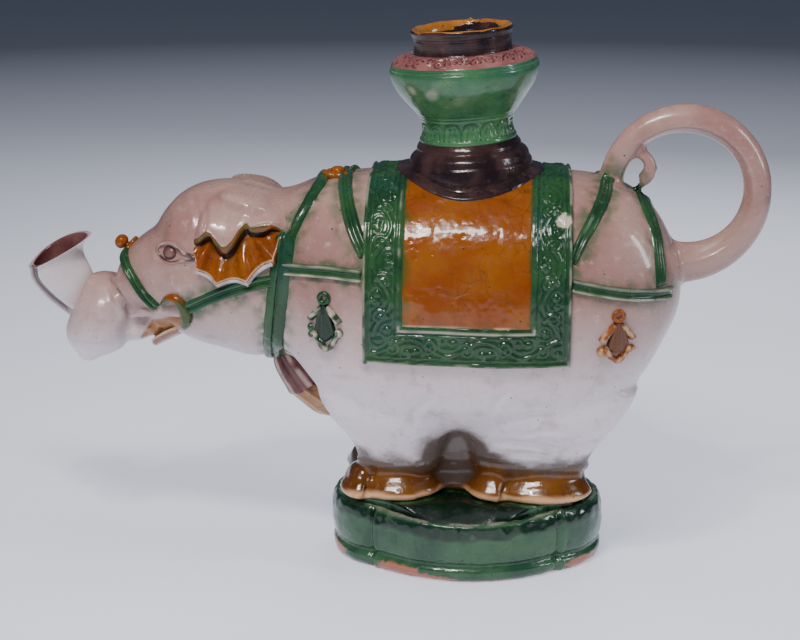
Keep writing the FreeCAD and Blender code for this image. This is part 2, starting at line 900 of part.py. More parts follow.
os.makedirs("parts", exist_ok=True)
make_plinth()
bulb = make_body_and_trunk()
mouth_ring = make_mouth(bulb)
knob, ears = make_face()
tail = tail_form()
crupper, breast = make_harness(knob, ears, mouth_ring, tail)
make_ornaments(crupper, breast)
make_cloth()
make_vase()
make_tail(tail)
make_legs()
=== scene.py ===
import math
import bpy
import bmesh
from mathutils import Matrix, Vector, noise
from mathutils.bvhtree import BVHTree
from mathutils.kdtree import KDTree


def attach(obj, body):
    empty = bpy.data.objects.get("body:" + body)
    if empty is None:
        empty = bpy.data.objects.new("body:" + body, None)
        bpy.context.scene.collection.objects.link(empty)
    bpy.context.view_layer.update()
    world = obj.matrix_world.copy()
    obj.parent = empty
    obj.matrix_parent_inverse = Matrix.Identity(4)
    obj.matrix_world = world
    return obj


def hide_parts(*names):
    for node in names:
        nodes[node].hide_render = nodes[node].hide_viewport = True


# Elephant ewer in three-colour glaze. Lengths in the dictionaries are millimetres.
# The elephant faces -X, its left flank is on the -Y side and +Z is up.
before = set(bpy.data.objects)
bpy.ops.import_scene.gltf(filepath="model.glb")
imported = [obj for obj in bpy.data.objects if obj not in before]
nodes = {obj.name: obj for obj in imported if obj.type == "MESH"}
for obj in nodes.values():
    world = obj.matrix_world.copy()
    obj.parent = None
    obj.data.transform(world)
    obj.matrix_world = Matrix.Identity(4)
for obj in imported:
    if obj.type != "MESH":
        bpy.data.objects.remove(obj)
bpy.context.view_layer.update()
scene = bpy.context.scene
mm = 0.001
sides = {"left": -1, "right": 1}


# Camera, lights and floor

viewCamera = {"place": (16.7, -647.6, 280.0), "pitchDown": 16.3, "turn": 3.75, "lens": 81.0}
studioLights = {
    "strip": {
        "place": (-120, -330, 560), "aim": (0, 0, 110), "size": (240, 60),
        "power": 2.2, "colour": (1.0, 0.96, 0.92), "glossy": True,
    },
    "overhead": {
        "place": (-40, 60, 620), "aim": (0, 0, 90), "size": (420, 420),
        "power": 1.3, "colour": (1.0, 0.95, 0.90), "glossy": False,
    },
    "front": {
        "place": (-260, -760, 260), "aim": (0, 0, 80), "size": (520, 520),
        "power": 2.9, "colour": (0.95, 0.97, 1.0), "glossy": False,
    },
    "side": {
        "place": (520, -120, 330), "aim": (0, 0, 120), "size": (60, 300),
        "power": 1.1, "colour": (0.92, 0.96, 1.0), "glossy": True,
    },
    "back": {
        "place": (120, 620, 420), "aim": (0, 0, 110), "size": (520, 200),
        "power": 2.0, "colour": (0.9, 0.95, 1.0), "glossy": False,
    },
    "spark": {
        "place": (-120, -330, 640), "aim": (0, 0, 110), "size": (26, 26),
        "power": 0.8, "colour": (1.0, 0.98, 0.95), "glossy": True,
    },
}
studioFloor = {
    "half": 2500, "colour": (0.70, 0.71, 0.76), "rough": 0.55,
    "glow": (0.78, 0.82, 1.0), "glowStrength": 0.52, "glowReach": 1500,
    "air": (0.40, 0.49, 0.70), "airStrength": 0.13,
}


def makeCamera(plan):
    data = bpy.data.cameras.new("viewCamera")
    data.lens = plan["lens"]
    data.clip_start = 0.01
    camera = bpy.data.objects.new("viewCamera", data)
    scene.collection.objects.link(camera)
    camera.location = Vector(plan["place"]) * mm
    camera.rotation_euler = (math.radians(90 - plan["pitchDown"]), 0, math.radians(plan["turn"]))
    scene.camera = camera


def makeLights(plans):
    for name, plan in plans.items():
        data = bpy.data.lights.new(name, "AREA")
        data.shape = "RECTANGLE"
        data.size, data.size_y = plan["size"][0] * mm, plan["size"][1] * mm
        data.energy = plan["power"]
        data.color = plan["colour"]
        lamp = bpy.data.objects.new(name, data)
        scene.collection.objects.link(lamp)
        lamp.location = Vector(plan["place"]) * mm
        aim = (Vector(plan["aim"]) - Vector(plan["place"])).normalized()
        lamp.rotation_euler = aim.to_track_quat("-Z", "Y").to_euler()
        lamp.visible_glossy = plan["glossy"]


def makeFloor(plan):
    bm = bmesh.new()
    bmesh.ops.create_grid(bm, x_segments=1, y_segments=1, size=plan["half"] * mm)
    mesh = bpy.data.meshes.new("floor")
    bm.to_mesh(mesh)
    bm.free()
    floor = bpy.data.objects.new("floor", mesh)
    scene.collection.objects.link(floor)
    paint = bpy.data.materials.new("paleFloor")
    paint.use_nodes = True
    shader = paint.node_tree.nodes["Principled BSDF"]
    shader.inputs["Base Color"].default_value = (*plan["colour"], 1)
    shader.inputs["Roughness"].default_value = plan["rough"]
    tree = paint.node_tree
    place = tree.nodes.new("ShaderNodeTexCoord").outputs["Object"]
    away = tree.nodes.new("ShaderNodeVectorMath")
    away.operation = "LENGTH"
    tree.links.new(place, away.inputs[0])
    fade = tree.nodes.new("ShaderNodeMapRange")
    fade.inputs["From Max"].default_value = plan["glowReach"] * mm
    fade.inputs["To Min"].default_value = plan["glowStrength"]
    fade.inputs["To Max"].default_value = 0
    tree.links.new(away.outputs["Value"], fade.inputs["Value"])
    shader.inputs["Emission Color"].default_value = (*plan["glow"], 1)
    tree.links.new(fade.outputs["Result"], shader.inputs["Emission Strength"])
    mesh.materials.append(paint)
    air = bpy.data.worlds.new("studioAir")
    air.use_nodes = True
    background = air.node_tree.nodes["Background"]
    background.inputs["Color"].default_value = (*plan["air"], 1)
    background.inputs["Strength"].default_value = plan["airStrength"]
    scene.world = air


makeCamera(viewCamera)
makeLights(studioLights)
makeFloor(studioFloor)
print("camera, lights and floor are in place")


# Glazes. Each one is a stack of layers over a base colour, all on Object coordinates

class Glaze:
    # Builds one material's nodes, left to right
    def __init__(self, name):
        self.material = bpy.data.materials.new(name)
        self.material.use_nodes = True
        self.tree = self.material.node_tree
        self.shader = self.tree.nodes["Principled BSDF"]
        self.place = self.tree.nodes.new("ShaderNodeTexCoord").outputs["Object"]
        self.bumps = []

    def link(self, start, end):
        self.tree.links.new(start, end)

    def node(self, kind, **settings):
        made = self.tree.nodes.new("ShaderNode" + kind)
        for key, value in settings.items():
            setattr(made, key, value)
        return made

    def cloud(self, size, detail=4, seat=(0, 0, 0)):
        # Soft noise whose patches are about size millimetres wide
        turn = self.node("Mapping")
        turn.inputs["Scale"].default_value = [1 / (size * mm)] * 3
        turn.inputs["Location"].default_value = seat
        self.link(self.place, turn.inputs["Vector"])
        made = self.node("TexNoise")
        made.inputs["Scale"].default_value = 1
        made.inputs["Detail"].default_value = detail
        made.inputs["Roughness"].default_value = 0.55
        self.link(turn.outputs["Vector"], made.inputs["Vector"])
        return made.outputs["Fac"]

    def cells(self, size, feature="F1", bend=0.0):
        # Distances in a web of cells about size millimetres wide, bent out of true
        turn = self.node("Mapping")
        turn.inputs["Scale"].default_value = [1 / (size * mm)] * 3
        self.link(self.place, turn.inputs["Vector"])
        where = turn.outputs["Vector"]
        if bend:
            shake = self.node("TexNoise")
            shake.inputs["Scale"].default_value = 1.7
            self.link(where, shake.inputs["Vector"])
            shift = self.node("MixRGB", blend_type="ADD")
            shift.inputs["Fac"].default_value = bend
            self.link(where, shift.inputs["Color1"])
            self.link(shake.outputs["Color"], shift.inputs["Color2"])
            where = shift.outputs["Color"]
        made = self.node("TexVoronoi", feature=feature)
        made.inputs["Scale"].default_value = 1
        self.link(where, made.inputs["Vector"])
        return made.outputs["Distance"]

    def marked(self, name):
        return self.node("Attribute", attribute_name=name).outputs["Fac"]

    def height(self):
        parts = self.node("SeparateXYZ")
        self.link(self.place, parts.inputs["Vector"])
        return parts.outputs["Z"]

    def step(self, source, low, high, top=1.0, bottom=0.0):
        # Fades from bottom to top while the source goes from low to high
        made = self.node("MapRange", interpolation_type="SMOOTHSTEP")
        made.inputs["From Min"].default_value = low
        made.inputs["From Max"].default_value = high
        made.inputs["To Min"].default_value = bottom
        made.inputs["To Max"].default_value = top
        self.link(source, made.inputs["Value"])
        return made.outputs["Result"]

    def maths(self, work, first, second):
        made = self.node("Math", operation=work, use_clamp=True)
        for socket, value in zip(made.inputs, (first, second)):
            if isinstance(value, (int, float)):
                socket.default_value = value
            else:
                self.link(value, socket)
        return made.outputs["Value"]

    def layer(self, under, over, amount):
        made = self.node("MixRGB")
        for key, value in (("Fac", amount), ("Color1", under), ("Color2", over)):
            if isinstance(value, tuple):
                made.inputs[key].default_value = (*value, 1)
            else:
                self.link(value, made.inputs[key])
        return made.outputs["Color"]

    def patched(self, under, over, size, low, high, most=1.0, detail=4, seat=(0, 0, 0)):
        # Lays a colour on the thick patches of a cloud
        return self.layer(under, over, self.step(self.cloud(size, detail, seat), low, high, most))

    def pooled(self, under, over, low, high, most):
        # Lays a colour where glaze pools and painted shade darkens hollows or, below zero, where it runs thin
        # over an edge
        return self.layer(under, over, self.step(self.marked("poolAndShade"), low, high, most))

    def stained(self, under, over, name):
        return self.layer(under, over, self.marked(name))

    def relief(self, source, depth):
        self.bumps.append((source, depth))

    def uneven(self, *waves):
        # Soft waves of the surface, each with its size and depth
        for size, depth in waves:
            self.relief(self.cloud(size, detail=3), depth)

    def glossy(self, colour, size, dull, bright, coat=0.42, coatRough=0.05, specular=0.3):
        # A glassy coat that is duller in patches
        sheen = self.step(self.cloud(size), 0.3, 0.7, dull, bright)
        return self.finish(colour, sheen, coat, coatRough, specular)

    def finish(self, colour, rough, coat=0.0, coatRough=0.05, specular=0.25):
        self.link(colour, self.shader.inputs["Base Color"])
        if isinstance(rough, (int, float)):
            self.shader.inputs["Roughness"].default_value = rough
        else:
            self.link(rough, self.shader.inputs["Roughness"])
        self.shader.inputs["Coat Weight"].default_value = coat
        self.shader.inputs["Coat Roughness"].default_value = coatRough
        self.shader.inputs["Specular IOR Level"].default_value = specular
        normal = None
        for source, depth in self.bumps:
            made = self.node("Bump")
            made.inputs["Strength"].default_value = 1.0
            made.inputs["Distance"].default_value = depth * mm
            self.link(source, made.inputs["Height"])
            if normal:
                self.link(normal, made.inputs["Normal"])
            normal = made.outputs["Normal"]
        if normal:
            self.link(normal, self.shader.inputs["Normal"])
        return self.material


def speckle(glaze, colour, size, reach, spot, amount, sparse):
    # Scattered dark iron spots and pinholes
    dots = glaze.step(glaze.cells(size), reach, reach * 0.6)
    kept = glaze.step(glaze.cloud(size * 2.6, detail=2), sparse, sparse + 0.12)
    spots = glaze.maths("MULTIPLY", dots, kept)
    glaze.relief(spots, -0.12)
    return glaze.layer(colour, spot, glaze.maths("MULTIPLY", spots, amount))


def crackle(glaze, colour, size, tint, amount):
    # Fine crazing lines, only here and there
    lines = glaze.step(glaze.cells(size, "DISTANCE_TO_EDGE", bend=0.35), 0.035, 0.0)
    kept = glaze.step(glaze.cloud(size * 4, detail=2), 0.45, 0.62)
    crazed = glaze.maths("MULTIPLY", lines, kept)
    return glaze.layer(colour, tint, glaze.maths("MULTIPLY", crazed, amount))


ivoryColours = {
    "ivory": (0.34, 0.205, 0.178), "pink": (0.27, 0.135, 0.120), "floorLitWhite": (0.72, 0.66, 0.71),
    "spot": (0.03, 0.014, 0.012), "crease": (0.10, 0.055, 0.045), "edge": (0.70, 0.60, 0.55),
    "green": (0.020, 0.080, 0.030), "brown": (0.085, 0.058, 0.044), "bruise": (0.038, 0.016, 0.018),
    "amber": (0.26, 0.085, 0.010), "white": (0.58, 0.53, 0.56),
    "floorLitFrom": 0.112, "floorLitTo": 0.060,  # heights between which the mauve turns to white, in metres: painted light from the glowing floor below
}


def makeIvoryGlaze(colours):
    glaze = Glaze("ivoryGlaze")
    colour = glaze.patched(colours["ivory"], colours["pink"], 34, 0.38, 0.66, seat=(3, 1, 2))
    # Painted light: lower down, the skin turns whiter and cooler, as if lit by the glowing floor
    floorLitWhite = glaze.step(glaze.height(), colours["floorLitFrom"], colours["floorLitTo"], 0.92)
    colour = glaze.layer(colour, colours["floorLitWhite"], floorLitWhite)
    colour = glaze.patched(colour, colours["pink"], 7, 0.52, 0.78, 0.42, detail=6)
    colour = glaze.patched(colour, colours["edge"], 2.4, 0.56, 0.80, 0.30, detail=5)
    # Darker in hollows: partly glaze that pools, partly painted shade in the creases
    colour = glaze.pooled(colour, colours["crease"], 0.08, 0.5, 0.85)
    colour = glaze.pooled(colour, colours["edge"], -0.12, -0.5, 0.7)
    patchy = glaze.step(glaze.cloud(5), 0.30, 0.62)
    green = glaze.maths("MULTIPLY", glaze.marked("greenBleed"), patchy)
    colour = glaze.layer(colour, colours["green"], glaze.maths("MULTIPLY", green, 0.95))
    # Brown where the feet's glaze has run up the legs, and painted shade in the recess between the legs
    brown = glaze.maths("ADD", glaze.marked("brownRunAndShade"), glaze.maths("MULTIPLY", patchy, 0.25))
    colour = glaze.layer(colour, colours["brown"], glaze.step(brown, 0.22, 1.15))
    # The pale mark whitens the worn edge of the ear frill and the jaw's outer wall, and is painted light from
    # below on the lower trunk and on the cup's outer wall
    colour = glaze.stained(colour, colours["white"], "pale")
    colour = glaze.stained(colour, colours["amber"], "mouth")
    colour = glaze.stained(colour, colours["bruise"], "bruise")
    colour = speckle(glaze, colour, 5.0, 0.075, colours["spot"], 0.95, 0.42)
    colour = speckle(glaze, colour, 2.2, 0.11, colours["crease"], 0.6, 0.46)
    colour = crackle(glaze, colour, 9, colours["crease"], 0.10)
    glaze.uneven((12, 0.5), (1.6, 0.05))
    return glaze.glossy(colour, 9, 0.36, 0.22, coat=0.45, coatRough=0.07, specular=0.35)


greenColours = {
    "green": (0.009, 0.040, 0.016), "leaf": (0.021, 0.070, 0.023), "deep": (0.002, 0.009, 0.005),
    "thin": (0.16, 0.25, 0.16), "cream": (0.46, 0.40, 0.33), "spot": (0.005, 0.010, 0.006),
    "sea": (0.015, 0.062, 0.045), "bare": (0.34, 0.115, 0.07), "worn": 0.75,
}
plinthColours = dict(
    greenColours, green=(0.016, 0.058, 0.030), leaf=(0.036, 0.100, 0.044), sea=(0.022, 0.086, 0.064),
)
# The deck's greens are the green glaze darkened: painted shade for the body's shadow over the deck
shadedDeckColours = dict(
    greenColours, green=(0.002, 0.010, 0.005), leaf=(0.003, 0.015, 0.007), sea=(0.0015, 0.009, 0.006),
    thin=(0.02, 0.05, 0.03), cream=(0.045, 0.13, 0.06), worn=0.3,
)
bowlColours = dict(
    greenColours, green=(0.024, 0.092, 0.040), leaf=(0.050, 0.145, 0.056), sea=(0.028, 0.105, 0.080),
    worn=0.5,
)


def makeGreenGlaze(name, colours):
    glaze = Glaze(name)
    colour = glaze.patched(colours["green"], colours["leaf"], 14, 0.36, 0.64, seat=(1, 5, 2))
    colour = glaze.patched(colour, colours["sea"], 22, 0.5, 0.72, 0.55, seat=(7, 2, 4))
    colour = glaze.pooled(colour, colours["deep"], 0.04, 0.42, 0.92)
    thin = glaze.step(glaze.marked("poolAndShade"), -0.10, -0.55, colours["worn"])
    grainy = glaze.step(glaze.cloud(3, detail=5), 0.30, 0.60)
    colour = glaze.layer(colour, colours["thin"], glaze.maths("MULTIPLY", thin, grainy))
    colour = glaze.stained(colour, colours["cream"], "cream")
    colour = glaze.patched(colour, colours["deep"], 5, 0.56, 0.80, 0.55, detail=6)
    colour = glaze.stained(colour, colours["bare"], "bare")
    colour = glaze.patched(colour, colours["thin"], 4, 0.60, 0.84, 0.35, detail=6, seat=(9, 9, 1))
    colour = speckle(glaze, colour, 4.5, 0.09, colours["spot"], 0.9, 0.46)
    colour = crackle(glaze, colour, 5, colours["spot"], 0.35)
    glaze.uneven((7, 0.35), (1.2, 0.04))
    return glaze.glossy(colour, 6, 0.30, 0.14)


amberColours = {
    "amber": (0.185, 0.040, 0.003), "honey": (0.22, 0.064, 0.006), "brown": (0.055, 0.014, 0.002),
    "pale": (0.66, 0.44, 0.27), "spot": (0.02, 0.008, 0.004), "green": (0.035, 0.06, 0.012), "worn": 0.9,
}
feetColours = dict(
    amberColours, amber=(0.085, 0.026, 0.003), honey=(0.15, 0.052, 0.006), brown=(0.030, 0.012, 0.005),
    pale=(0.62, 0.34, 0.17), ashAndShade=(0.085, 0.058, 0.044),
)
tanColours = dict(
    amberColours, amber=(0.30, 0.13, 0.055), honey=(0.40, 0.22, 0.12), brown=(0.12, 0.055, 0.03),
)
toffeeColours = dict(
    amberColours, amber=(0.22, 0.075, 0.012), honey=(0.36, 0.14, 0.02), pale=(0.45, 0.2, 0.08), worn=0.5,
)


def makeAmberGlaze(name, colours):
    glaze = Glaze(name)
    colour = glaze.patched(colours["amber"], colours["honey"], 15, 0.35, 0.68, seat=(2, 2, 7))
    colour = glaze.patched(colour, colours["brown"], 6, 0.54, 0.80, 0.55, detail=6)
    colour = glaze.pooled(colour, colours["brown"], 0.05, 0.45, 0.9)
    colour = glaze.pooled(colour, colours["pale"], -0.12, -0.5, colours["worn"])
    colour = glaze.stained(colour, colours["pale"], "cream")
    colour = glaze.stained(colour, colours["green"], "greenBleed")
    # Grey-brown where the feet meet the legs, and painted shade on the feet's inner sides between the legs
    if "ashAndShade" in colours:
        colour = glaze.stained(colour, colours["ashAndShade"], "ashAndShade")
    colour = speckle(glaze, colour, 4.2, 0.10, colours["spot"], 0.85, 0.47)
    colour = crackle(glaze, colour, 6.5, colours["spot"], 0.45)
    glaze.uneven((8, 0.4), (1.3, 0.05))
    return glaze.glossy(colour, 6, 0.30, 0.14)


mulberryColours = {
    "base": (0.17, 0.062, 0.062), "blush": (0.23, 0.095, 0.09), "thin": (0.34, 0.19, 0.16),
    "pale": (0.50, 0.36, 0.33), "deep": (0.006, 0.003, 0.004), "spot": (0.004, 0.002, 0.002),
}
darkColours = dict(
    mulberryColours, base=(0.012, 0.007, 0.009), blush=(0.045, 0.022, 0.022), thin=(0.13, 0.07, 0.045),
    pale=(0.34, 0.24, 0.20),
)
plumColours = dict(
    mulberryColours, base=(0.085, 0.030, 0.030), blush=(0.14, 0.056, 0.050), thin=(0.24, 0.12, 0.10),
    pale=(0.50, 0.36, 0.31),
)


def makeAubergineGlaze(name, colours):
    glaze = Glaze(name)
    colour = glaze.patched(colours["base"], colours["blush"], 9, 0.36, 0.66, seat=(4, 4, 1))
    colour = glaze.patched(colour, colours["thin"], 4, 0.58, 0.82, 0.6, detail=6)
    colour = glaze.pooled(colour, colours["deep"], 0.05, 0.4, 0.9)
    colour = glaze.pooled(colour, colours["pale"], -0.16, -0.6, 0.7)
    colour = glaze.stained(colour, colours["pale"], "cream")
    colour = speckle(glaze, colour, 3.6, 0.10, colours["spot"], 0.9, 0.46)
    glaze.uneven((5, 0.3), (1.1, 0.05))
    return glaze.glossy(colour, 5, 0.28, 0.12, coat=0.28, specular=0.22)


clayColours = {"base": (0.36, 0.17, 0.11), "rubbed": (0.45, 0.26, 0.18), "dark": (0.12, 0.05, 0.035)}


def makeBareClay(colours):
    glaze = Glaze("bareClay")
    colour = glaze.patched(colours["base"], colours["rubbed"], 9, 0.35, 0.7, detail=6)
    colour = glaze.pooled(colour, colours["dark"], 0.05, 0.4, 0.8)
    colour = speckle(glaze, colour, 2.2, 0.14, colours["dark"], 0.8, 0.44)
    glaze.relief(glaze.cloud(1.0, detail=5), 0.12)
    glaze.relief(glaze.cloud(6, detail=3), 0.3)
    return glaze.finish(colour, 0.85)


ivoryGlaze = makeIvoryGlaze(ivoryColours)
greenGlaze = makeGreenGlaze("greenGlaze", greenColours)
plinthGlaze = makeGreenGlaze("plinthGlaze", plinthColours)
shadedDeckGlaze = makeGreenGlaze("shadedDeckGlaze", shadedDeckColours)
bowlGlaze = makeGreenGlaze("bowlGlaze", bowlColours)
amberGlaze = makeAmberGlaze("amberGlaze", amberColours)
feetGlaze = makeAmberGlaze("feetGlaze", feetColours)
tanGlaze = makeAmberGlaze("tanGlaze", tanColours)
toffeeGlaze = makeAmberGlaze("toffeeGlaze", toffeeColours)
mulberryGlaze = makeAubergineGlaze("mulberryGlaze", mulberryColours)
darkGlaze = makeAubergineGlaze("darkGlaze", darkColours)
plumGlaze = makeAubergineGlaze("plumGlaze", plumColours)
bareClay = makeBareClay(clayColours)
print("glazes are mixed")


# Tools for clay

def pour(bm, part):
    # Adds a copy of one bmesh to another and frees it
    lump = bpy.data.meshes.new("lump")
    part.to_mesh(lump)
    part.free()
    bm.from_mesh(lump)
    bpy.data.meshes.remove(lump)


def clayFrom(names):
    # A merged copy of the named solids
    bm = bmesh.new()
    for name in names:
        part = bmesh.new()
        part.from_mesh(nodes[name].data)
        bmesh.ops.remove_doubles(part, verts=part.verts, dist=0.004 * mm)
        pour(bm, part)
    return bm


def pushOut(bm, lift):
    # Moves every point along its normal by the millimetres that lift gives for it
    bm.normal_update()
    moves = [vert.normal * lift(vert) * mm for vert in bm.verts]
    for vert, move in zip(bm.verts, moves):
        vert.co += move


def fuse(bm, grain):
    # Joins overlapping lumps into one even skin
    mesh = bpy.data.meshes.new("lump")
    bm.to_mesh(mesh)
    bm.free()
    lump = bpy.data.objects.new("lump", mesh)
    scene.collection.objects.link(lump)
    change = lump.modifiers.new("fuse", "REMESH")
    change.mode = "VOXEL"
    change.voxel_size = grain * mm
    bpy.context.view_layer.update()
    shaped = lump.evaluated_get(bpy.context.evaluated_depsgraph_get())
    result = bmesh.new()
    result.from_mesh(shaped.to_mesh())
    bpy.data.objects.remove(lump)
    bpy.data.meshes.remove(mesh)
    return result


def keepLargest(bm):
    left = set(bm.verts)
    groups = []
    while left:
        start = left.pop()
        group = {start}
        waiting = [start]
        while waiting:
            vert = waiting.pop()
            for edge in vert.link_edges:
                other = edge.other_vert(vert)
                if other in left:
                    left.discard(other)
                    group.add(other)
                    waiting.append(other)
        groups.append(group)
    groups.sort(key=len)
    spare = [vert for group in groups[:-1] for vert in group]
    if spare:
        bmesh.ops.delete(bm, geom=spare, context="VERTS")


def soften(bm, turns, verts=None, factor=0.5):
    chosen = list(bm.verts) if verts is None else verts
    axes = {"use_axis_x": True, "use_axis_y": True, "use_axis_z": True}
    for turn in range(turns):
        bmesh.ops.smooth_vert(bm, verts=chosen, factor=factor, **axes)


def marks(bm, *names):
    # Float layers for the glazes to read
    made = [bm.verts.layers.float.get(name) or bm.verts.layers.float.new(name) for name in names]
    return made if len(made) > 1 else made[0]


def markHollows(bm, turns=2):
    # Stores how hollow the clay is at each point, for where glaze pools and painted shade darkens the
    # hollows, or where the glaze wears
    bm.normal_update()
    bm.verts.ensure_lookup_table()
    bm.verts.index_update()
    values = []
    for vert in bm.verts:
        total = 0
        for edge in vert.link_edges:
            step = edge.other_vert(vert).co - vert.co
            total += step.dot(vert.normal) / max(step.length, 1e-9)
        values.append(total / max(len(vert.link_edges), 1))
    for turn in range(turns):
        values = [
            (values[vert.index] * 2 + sum(values[edge.other_vert(vert).index] for edge in vert.link_edges))
            / (2 + len(vert.link_edges))
            for vert in bm.verts
        ]
    poolAndShade = marks(bm, "poolAndShade")
    for vert in bm.verts:
        vert[poolAndShade] = values[vert.index]


def finishPiece(name, bm, glazes, slot, stands=()):
    # Makes the piece and hides the model's nodes that it stands for
    mesh = bpy.data.meshes.new(name)
    bm.to_mesh(mesh)
    bm.free()
    for glaze in glazes:
        mesh.materials.append(glaze)
    mesh.polygons.foreach_set("use_smooth", [True] * len(mesh.polygons))
    piece = bpy.data.objects.new(name, mesh)
    scene.collection.objects.link(piece)
    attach(piece, "root")
    if stands:
        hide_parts(*stands)
    return piece


def thicken(piece, depth):
    # Gives a sheet its wall, whose underside and rim have the second glaze
    wall = piece.modifiers.new("thickness", "SOLIDIFY")
    wall.thickness = depth * mm
    wall.offset = -1
    wall.thickness_clamp = 1
    wall.material_offset = 1
    wall.material_offset_rim = 1


def fillHoles(bm):
    bmesh.ops.holes_fill(bm, edges=[edge for edge in bm.edges if edge.is_boundary], sides=0)


def spun(points, steps, gap):
    # Turns a line of radii and heights once round, as on the wheel
    bm = bmesh.new()
    verts = [bm.verts.new((radius * mm, 0, height * mm)) for radius, height in points]
    edges = [bm.edges.new(pair) for pair in zip(verts, verts[1:])]
    bmesh.ops.spin(
        bm, geom=verts + edges, cent=(0, 0, 0), axis=(0, 0, 1), angle=2 * math.pi,
        steps=steps, use_merge=True, use_duplicate=False,
    )
    bmesh.ops.remove_doubles(bm, verts=bm.verts, dist=gap * mm)
    return bm


def flip(bm, made):
    bmesh.ops.reverse_faces(bm, faces=list({face for vert in made for face in vert.link_faces}))


def treeOf(places):
    tree = KDTree(len(places))
    for index, place in enumerate(places):
        tree.insert(place, index)
    tree.balance()
    return tree


def lineTree(lines, gap):
    # All points of the drawn lines, close enough to measure distances to them
    points = []
    for line in lines:
        for start, end in zip(line, line[1:]):
            start, end = Vector((*start, 0)), Vector((*end, 0))
            count = int((end - start).length / gap) + 1
            points.extend(start.lerp(end, part / count) for part in range(count))
    return treeOf(points)


def bump(distance, width):
    return math.exp(-(distance / width) ** 2)


def spread(points, share):
    # A point on a smooth curve through the given points
    last = len(points) - 1
    spot = min(max(share, 0), 1) * last
    index = min(int(spot), last - 1)
    part = spot - index
    before = Vector(points[max(index - 1, 0)])
    start = Vector(points[index])
    end = Vector(points[index + 1])
    after = Vector(points[min(index + 2, last)])
    one = (end - before) * 0.5
    two = (after - start) * 0.5
    cube = part ** 3
    square = part ** 2
    return (
        start * (2 * cube - 3 * square + 1) + one * (cube - 2 * square + part)
        + end * (3 * square - 2 * cube) + two * (cube - square)
    )


def curve(points, count):
    return [spread(points, index / count) for index in range(count + 1)]


def between(rows, share):
    # Straight-line value from rows of (share, value)
    for (low, first), (high, second) in zip(rows, rows[1:]):
        if share <= high:
            return first + (second - first) * (share - low) / (high - low)
    return rows[-1][1]


def ease(share):
    share = min(max(share, 0), 1)
    return share * share * (3 - 2 * share)


# Elephant skin: torso, head, legs and trunk as one piece of clay

elephantSkin = {
    "grain": 1.05, "swell": 0.3, "softTurns": 7, "webTurns": 14,
    "spine": ((-112, 107), (56, 104)),  # ends of the line inside the hollow body, x and z
    "outside": 0.12,  # how squarely a face of the outer skin looks away from that line
    "keel": {"front": -124, "top": 86.0, "pinch": 0.42, "fade": 13},
    "lumps": [  # lip, roof of the mouth, thick of the trunk's fold, and roots of the ears
        {"middle": (-124.9, 0, 85.3), "axes": (6.8, 7.6, 4.6), "turn": 14},
        {"middle": (-112.6, 0, 90.0), "axes": (9.5, 13.6, 3.4), "turn": -22},
        {"middle": (-138.0, 0, 97.6), "axes": (9.6, 11.4, 9.6), "turn": -20},
        {"middle": (-118.6, 0, 88.4), "axes": (6.0, 10.5, 2.6), "turn": 16},
        {"middle": (-127.2, 0, 93.0), "axes": (4.0, 8.0, 4.6), "turn": 0},
        {"middle": (-115.6, 0, 86.4), "axes": (5.2, 9.5, 2.4), "turn": 32},
        {"middle": (-81.0, 16.0, 138.6), "axes": (10.0, 5.0, 2.6), "turn": -14},
        {"middle": (-81.0, -16.0, 138.6), "axes": (10.0, 5.0, 2.6), "turn": -14},
    ],
    "folds": [  # start, end, depth and width of each crease in the flank
        ((16.0, 61.5), (29.0, 65.5), 0.8, 1.3), ((13.0, 51.5), (33.5, 49.0), 0.8, 1.6),
        ((18.0, 46.5), (36.0, 43.5), 0.6, 1.4), ((22.0, 56.5), (36.0, 57.5), 0.5, 1.5),
        ((-20.0, 60.0), (-13.5, 71.0), 0.5, 1.8), ((10.0, 66.0), (14.5, 75.0), 0.5, 1.8),
        ((-95.5, 137.0), (-94.5, 129.5), 1.0, 1.2), ((-101.0, 139.5), (-97.0, 131.0), 0.5, 1.6),
        ((-119.6, 112.0), (-115.4, 104.0), 0.5, 1.0), ((-132.4, 105.0), (-126.8, 93.5), 2.4, 1.3),
        ((75.0, 132.0), (76.8, 118.0), 0.5, 0.8), ((42.6, 150.6), (50.4, 147.6), 0.5, 0.8),
    ],
}
facePlan = {
    "back": -50, "inner": 12, "eye": (-107.8, 120.4), "slant": (0.1, 0.12), "socketHalf": (14, 10),
    # Each swelling has its middle, stretch along x, ring, width and height
    "socket": [
        ((0, 0), 1.5, 4.4, 1.1, 0.75), ((0, 0), 1.5, 0, 2.9, -1.1), ((8.5, -1.0), 3.4, 0, 0.95, -0.7),
        ((0, 7.5), 5, 0, 1.8, 0.5),
    ],
    "cheek": [
        ((-104, 109), 1.6, 0, 4.5, 1.2), ((-113, 109.5), 1.2, 0, 3.5, -0.9),
        ((-108.0, 98.3), 1, 0, 3.6, -2.6),
    ],
    "brow": ((-118.5, 127.5), 1.3, 0, 7.5, -3.4), "browBack": -104,
}
chestHollow = {
    "middle": (-63.0, 74.0), "slope": (0.78, 0.63), "low": 56, "high": 90,
    "depth": 4.6, "width": 6.5, "length": 15, "half": 30,
}
tailPlan = {
    "middle": (77.5, 141.0), "front": 60, "reach": 34, "half": 9,
    "ridge": 25.2, "ridgeHeight": 0.55, "groove": 22.0, "grooveDepth": 0.75,
}
footPlan = {
    "top": 37.5, "deck": 26.0, "half": 60, "inner": 10, "grooves": [-36.6, 14.4], "grooveLean": 0.3,
    "grooveDepth": 2.9, "grooveTop": 40,
    "rings": [(29.0, 2.0, 1.2), (34.6, 2.6, -1.5), (41, 2.4, 0.5)],  # height, width and swelling
}
hollowNodes = ["body_left_half", "body_right_half", "head_shell"]
limbNodes = [
    "left_front_leg", "right_front_leg", "left_rear_leg", "right_rear_leg",
    "belly_web", "trunk_bulb", "tail_handle", "tail_curl",
]
